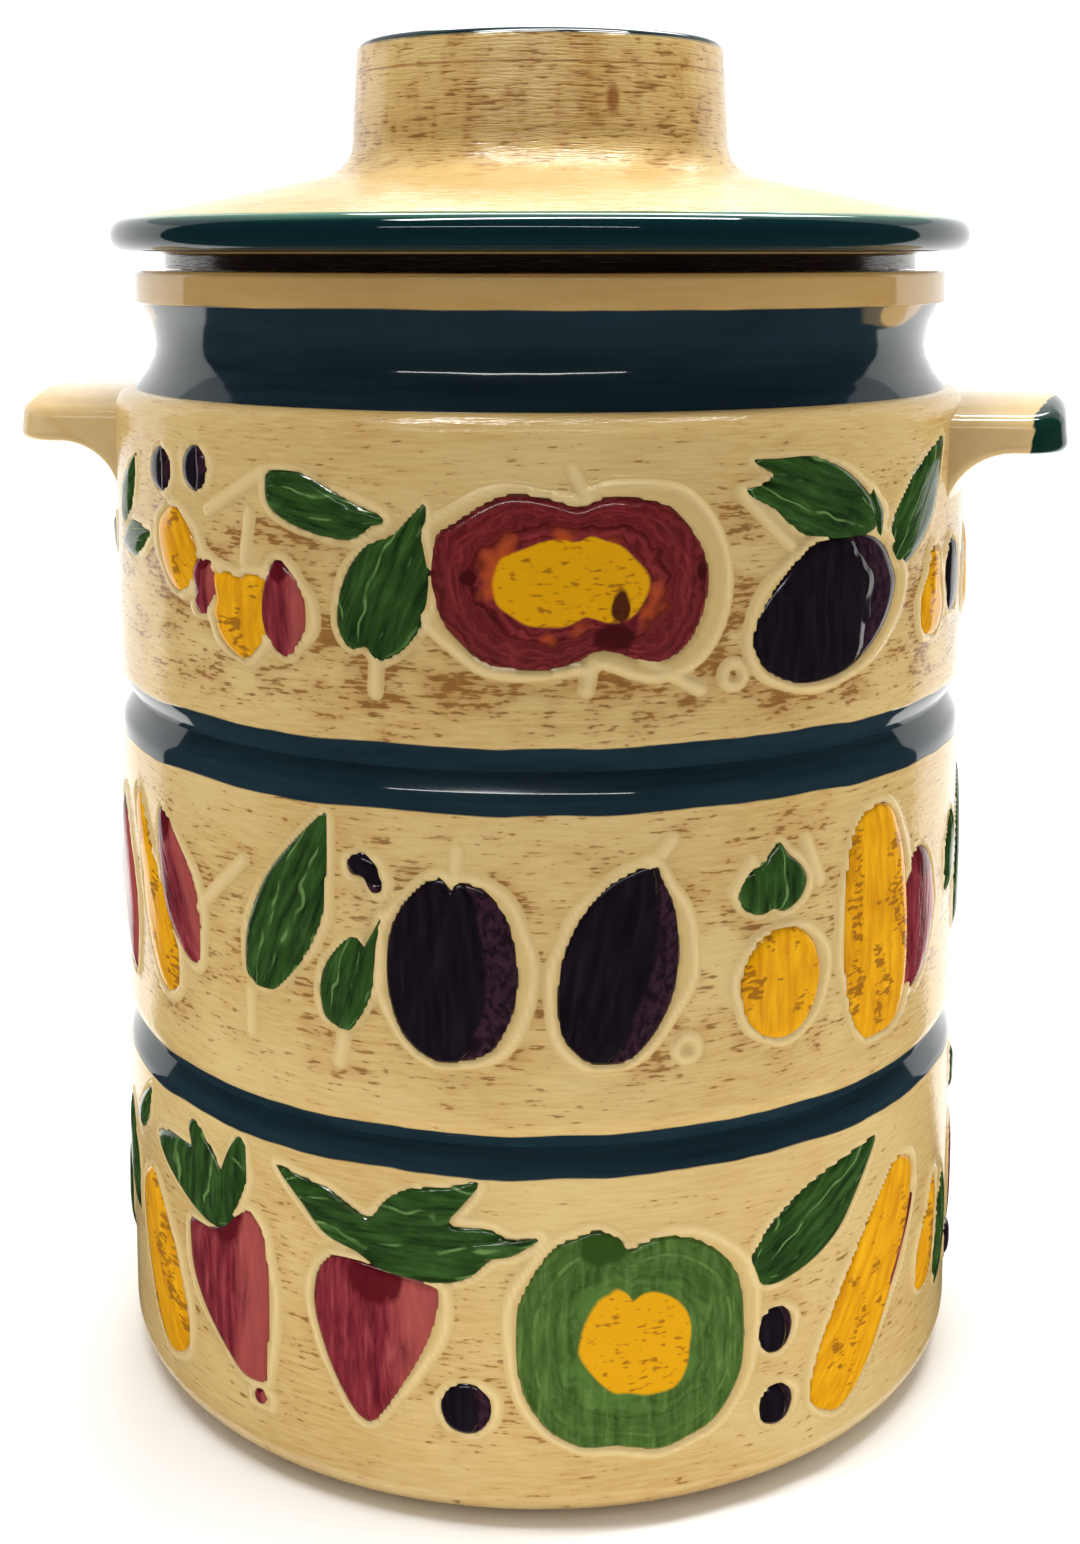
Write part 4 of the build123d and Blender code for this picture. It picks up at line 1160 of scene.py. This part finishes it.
# A dark room round the front of the pot. Only the gloss of the glaze sees it, and it keeps no light away.
bpy.ops.object.select_all(action="DESELECT")
bpy.ops.mesh.primitive_grid_add(x_subdivisions=32, y_subdivisions=12, size=1)
room = bpy.context.object
room.name = "dark_room"
for vertex in room.data.vertices:
    facing = math.radians(ROOM_MIDDLE + vertex.co.x * ROOM_SPREAD)
    bend = (vertex.co.y + .5) * math.radians(ROOM_BEND)
    away = ROOM_NEAR + ROOM_REACH * math.sin(bend)
    vertex.co = (away * math.sin(facing), -away * math.cos(facing),
                 ROOM_FLOOR + ROOM_HALF_HEIGHT * (1 - math.cos(bend)))
room.visible_diffuse = False
room.visible_shadow = False

# A dark card behind the camera, which keeps the light off the front
bpy.ops.object.select_all(action="DESELECT")
bpy.ops.mesh.primitive_plane_add(size=1)
flag = bpy.context.object
flag.name = "dark_card"
for vertex in flag.data.vertices:
    vertex.co = (vertex.co.x * CARD_SIZE[0] + CARD_PLACE[0], CARD_PLACE[1],
                 vertex.co.y * CARD_SIZE[1] + CARD_PLACE[2])
card = matt("matt_dark_card", "#0B0B0C")
for screen in (room, flag):
    screen.data.materials.append(card)
    screen.visible_camera = False

# The camera sees the room white; its light on the pot is softer.
world = bpy.data.worlds.new("soft_daylight")
bpy.context.scene.world = world
world.use_nodes = True
sky = world.node_tree.nodes["Background"]
sky.inputs["Color"].default_value = linear("#F4F6F8")
seen = add_node(world.node_tree, "MapRange", {
    "Value": add_node(world.node_tree, "LightPath").outputs["Is Camera Ray"], "To Min": DAYLIGHT,
    "To Max": BACKDROP})
world.node_tree.links.new(seen.outputs[0], sky.inputs["Strength"])

for name, place, aim, width, depth, watts, lights, shines in SOFTBOXES:
    light = bpy.data.lights.new(name, "AREA")
    light.shape = "RECTANGLE"
    light.size = width
    light.size_y = depth
    light.energy = watts
    lamp = bpy.data.objects.new(name, light)
    bpy.context.collection.objects.link(lamp)
    lamp.location = place
    lamp.rotation_euler = (Vector(aim) - Vector(place)).to_track_quat("-Z", "Y").to_euler()
    lamp.visible_diffuse = lights
    lamp.visible_glossy = shines
    lamp.visible_camera = False

camera = bpy.data.cameras.new("camera")
camera.lens = SENSOR * FOCAL_PIXELS / PHOTO_HEIGHT
camera.sensor_width = SENSOR
camera.shift_y = CAMERA_SHIFT
viewer = bpy.data.objects.new("camera", camera)
bpy.context.collection.objects.link(viewer)
viewer.location = CAMERA_PLACE
viewer.rotation_euler = (math.radians(90 - CAMERA_DROP), 0, math.radians(CAMERA_TURN))
bpy.context.scene.camera = viewer
bpy.context.scene.view_settings.view_transform = "Standard"
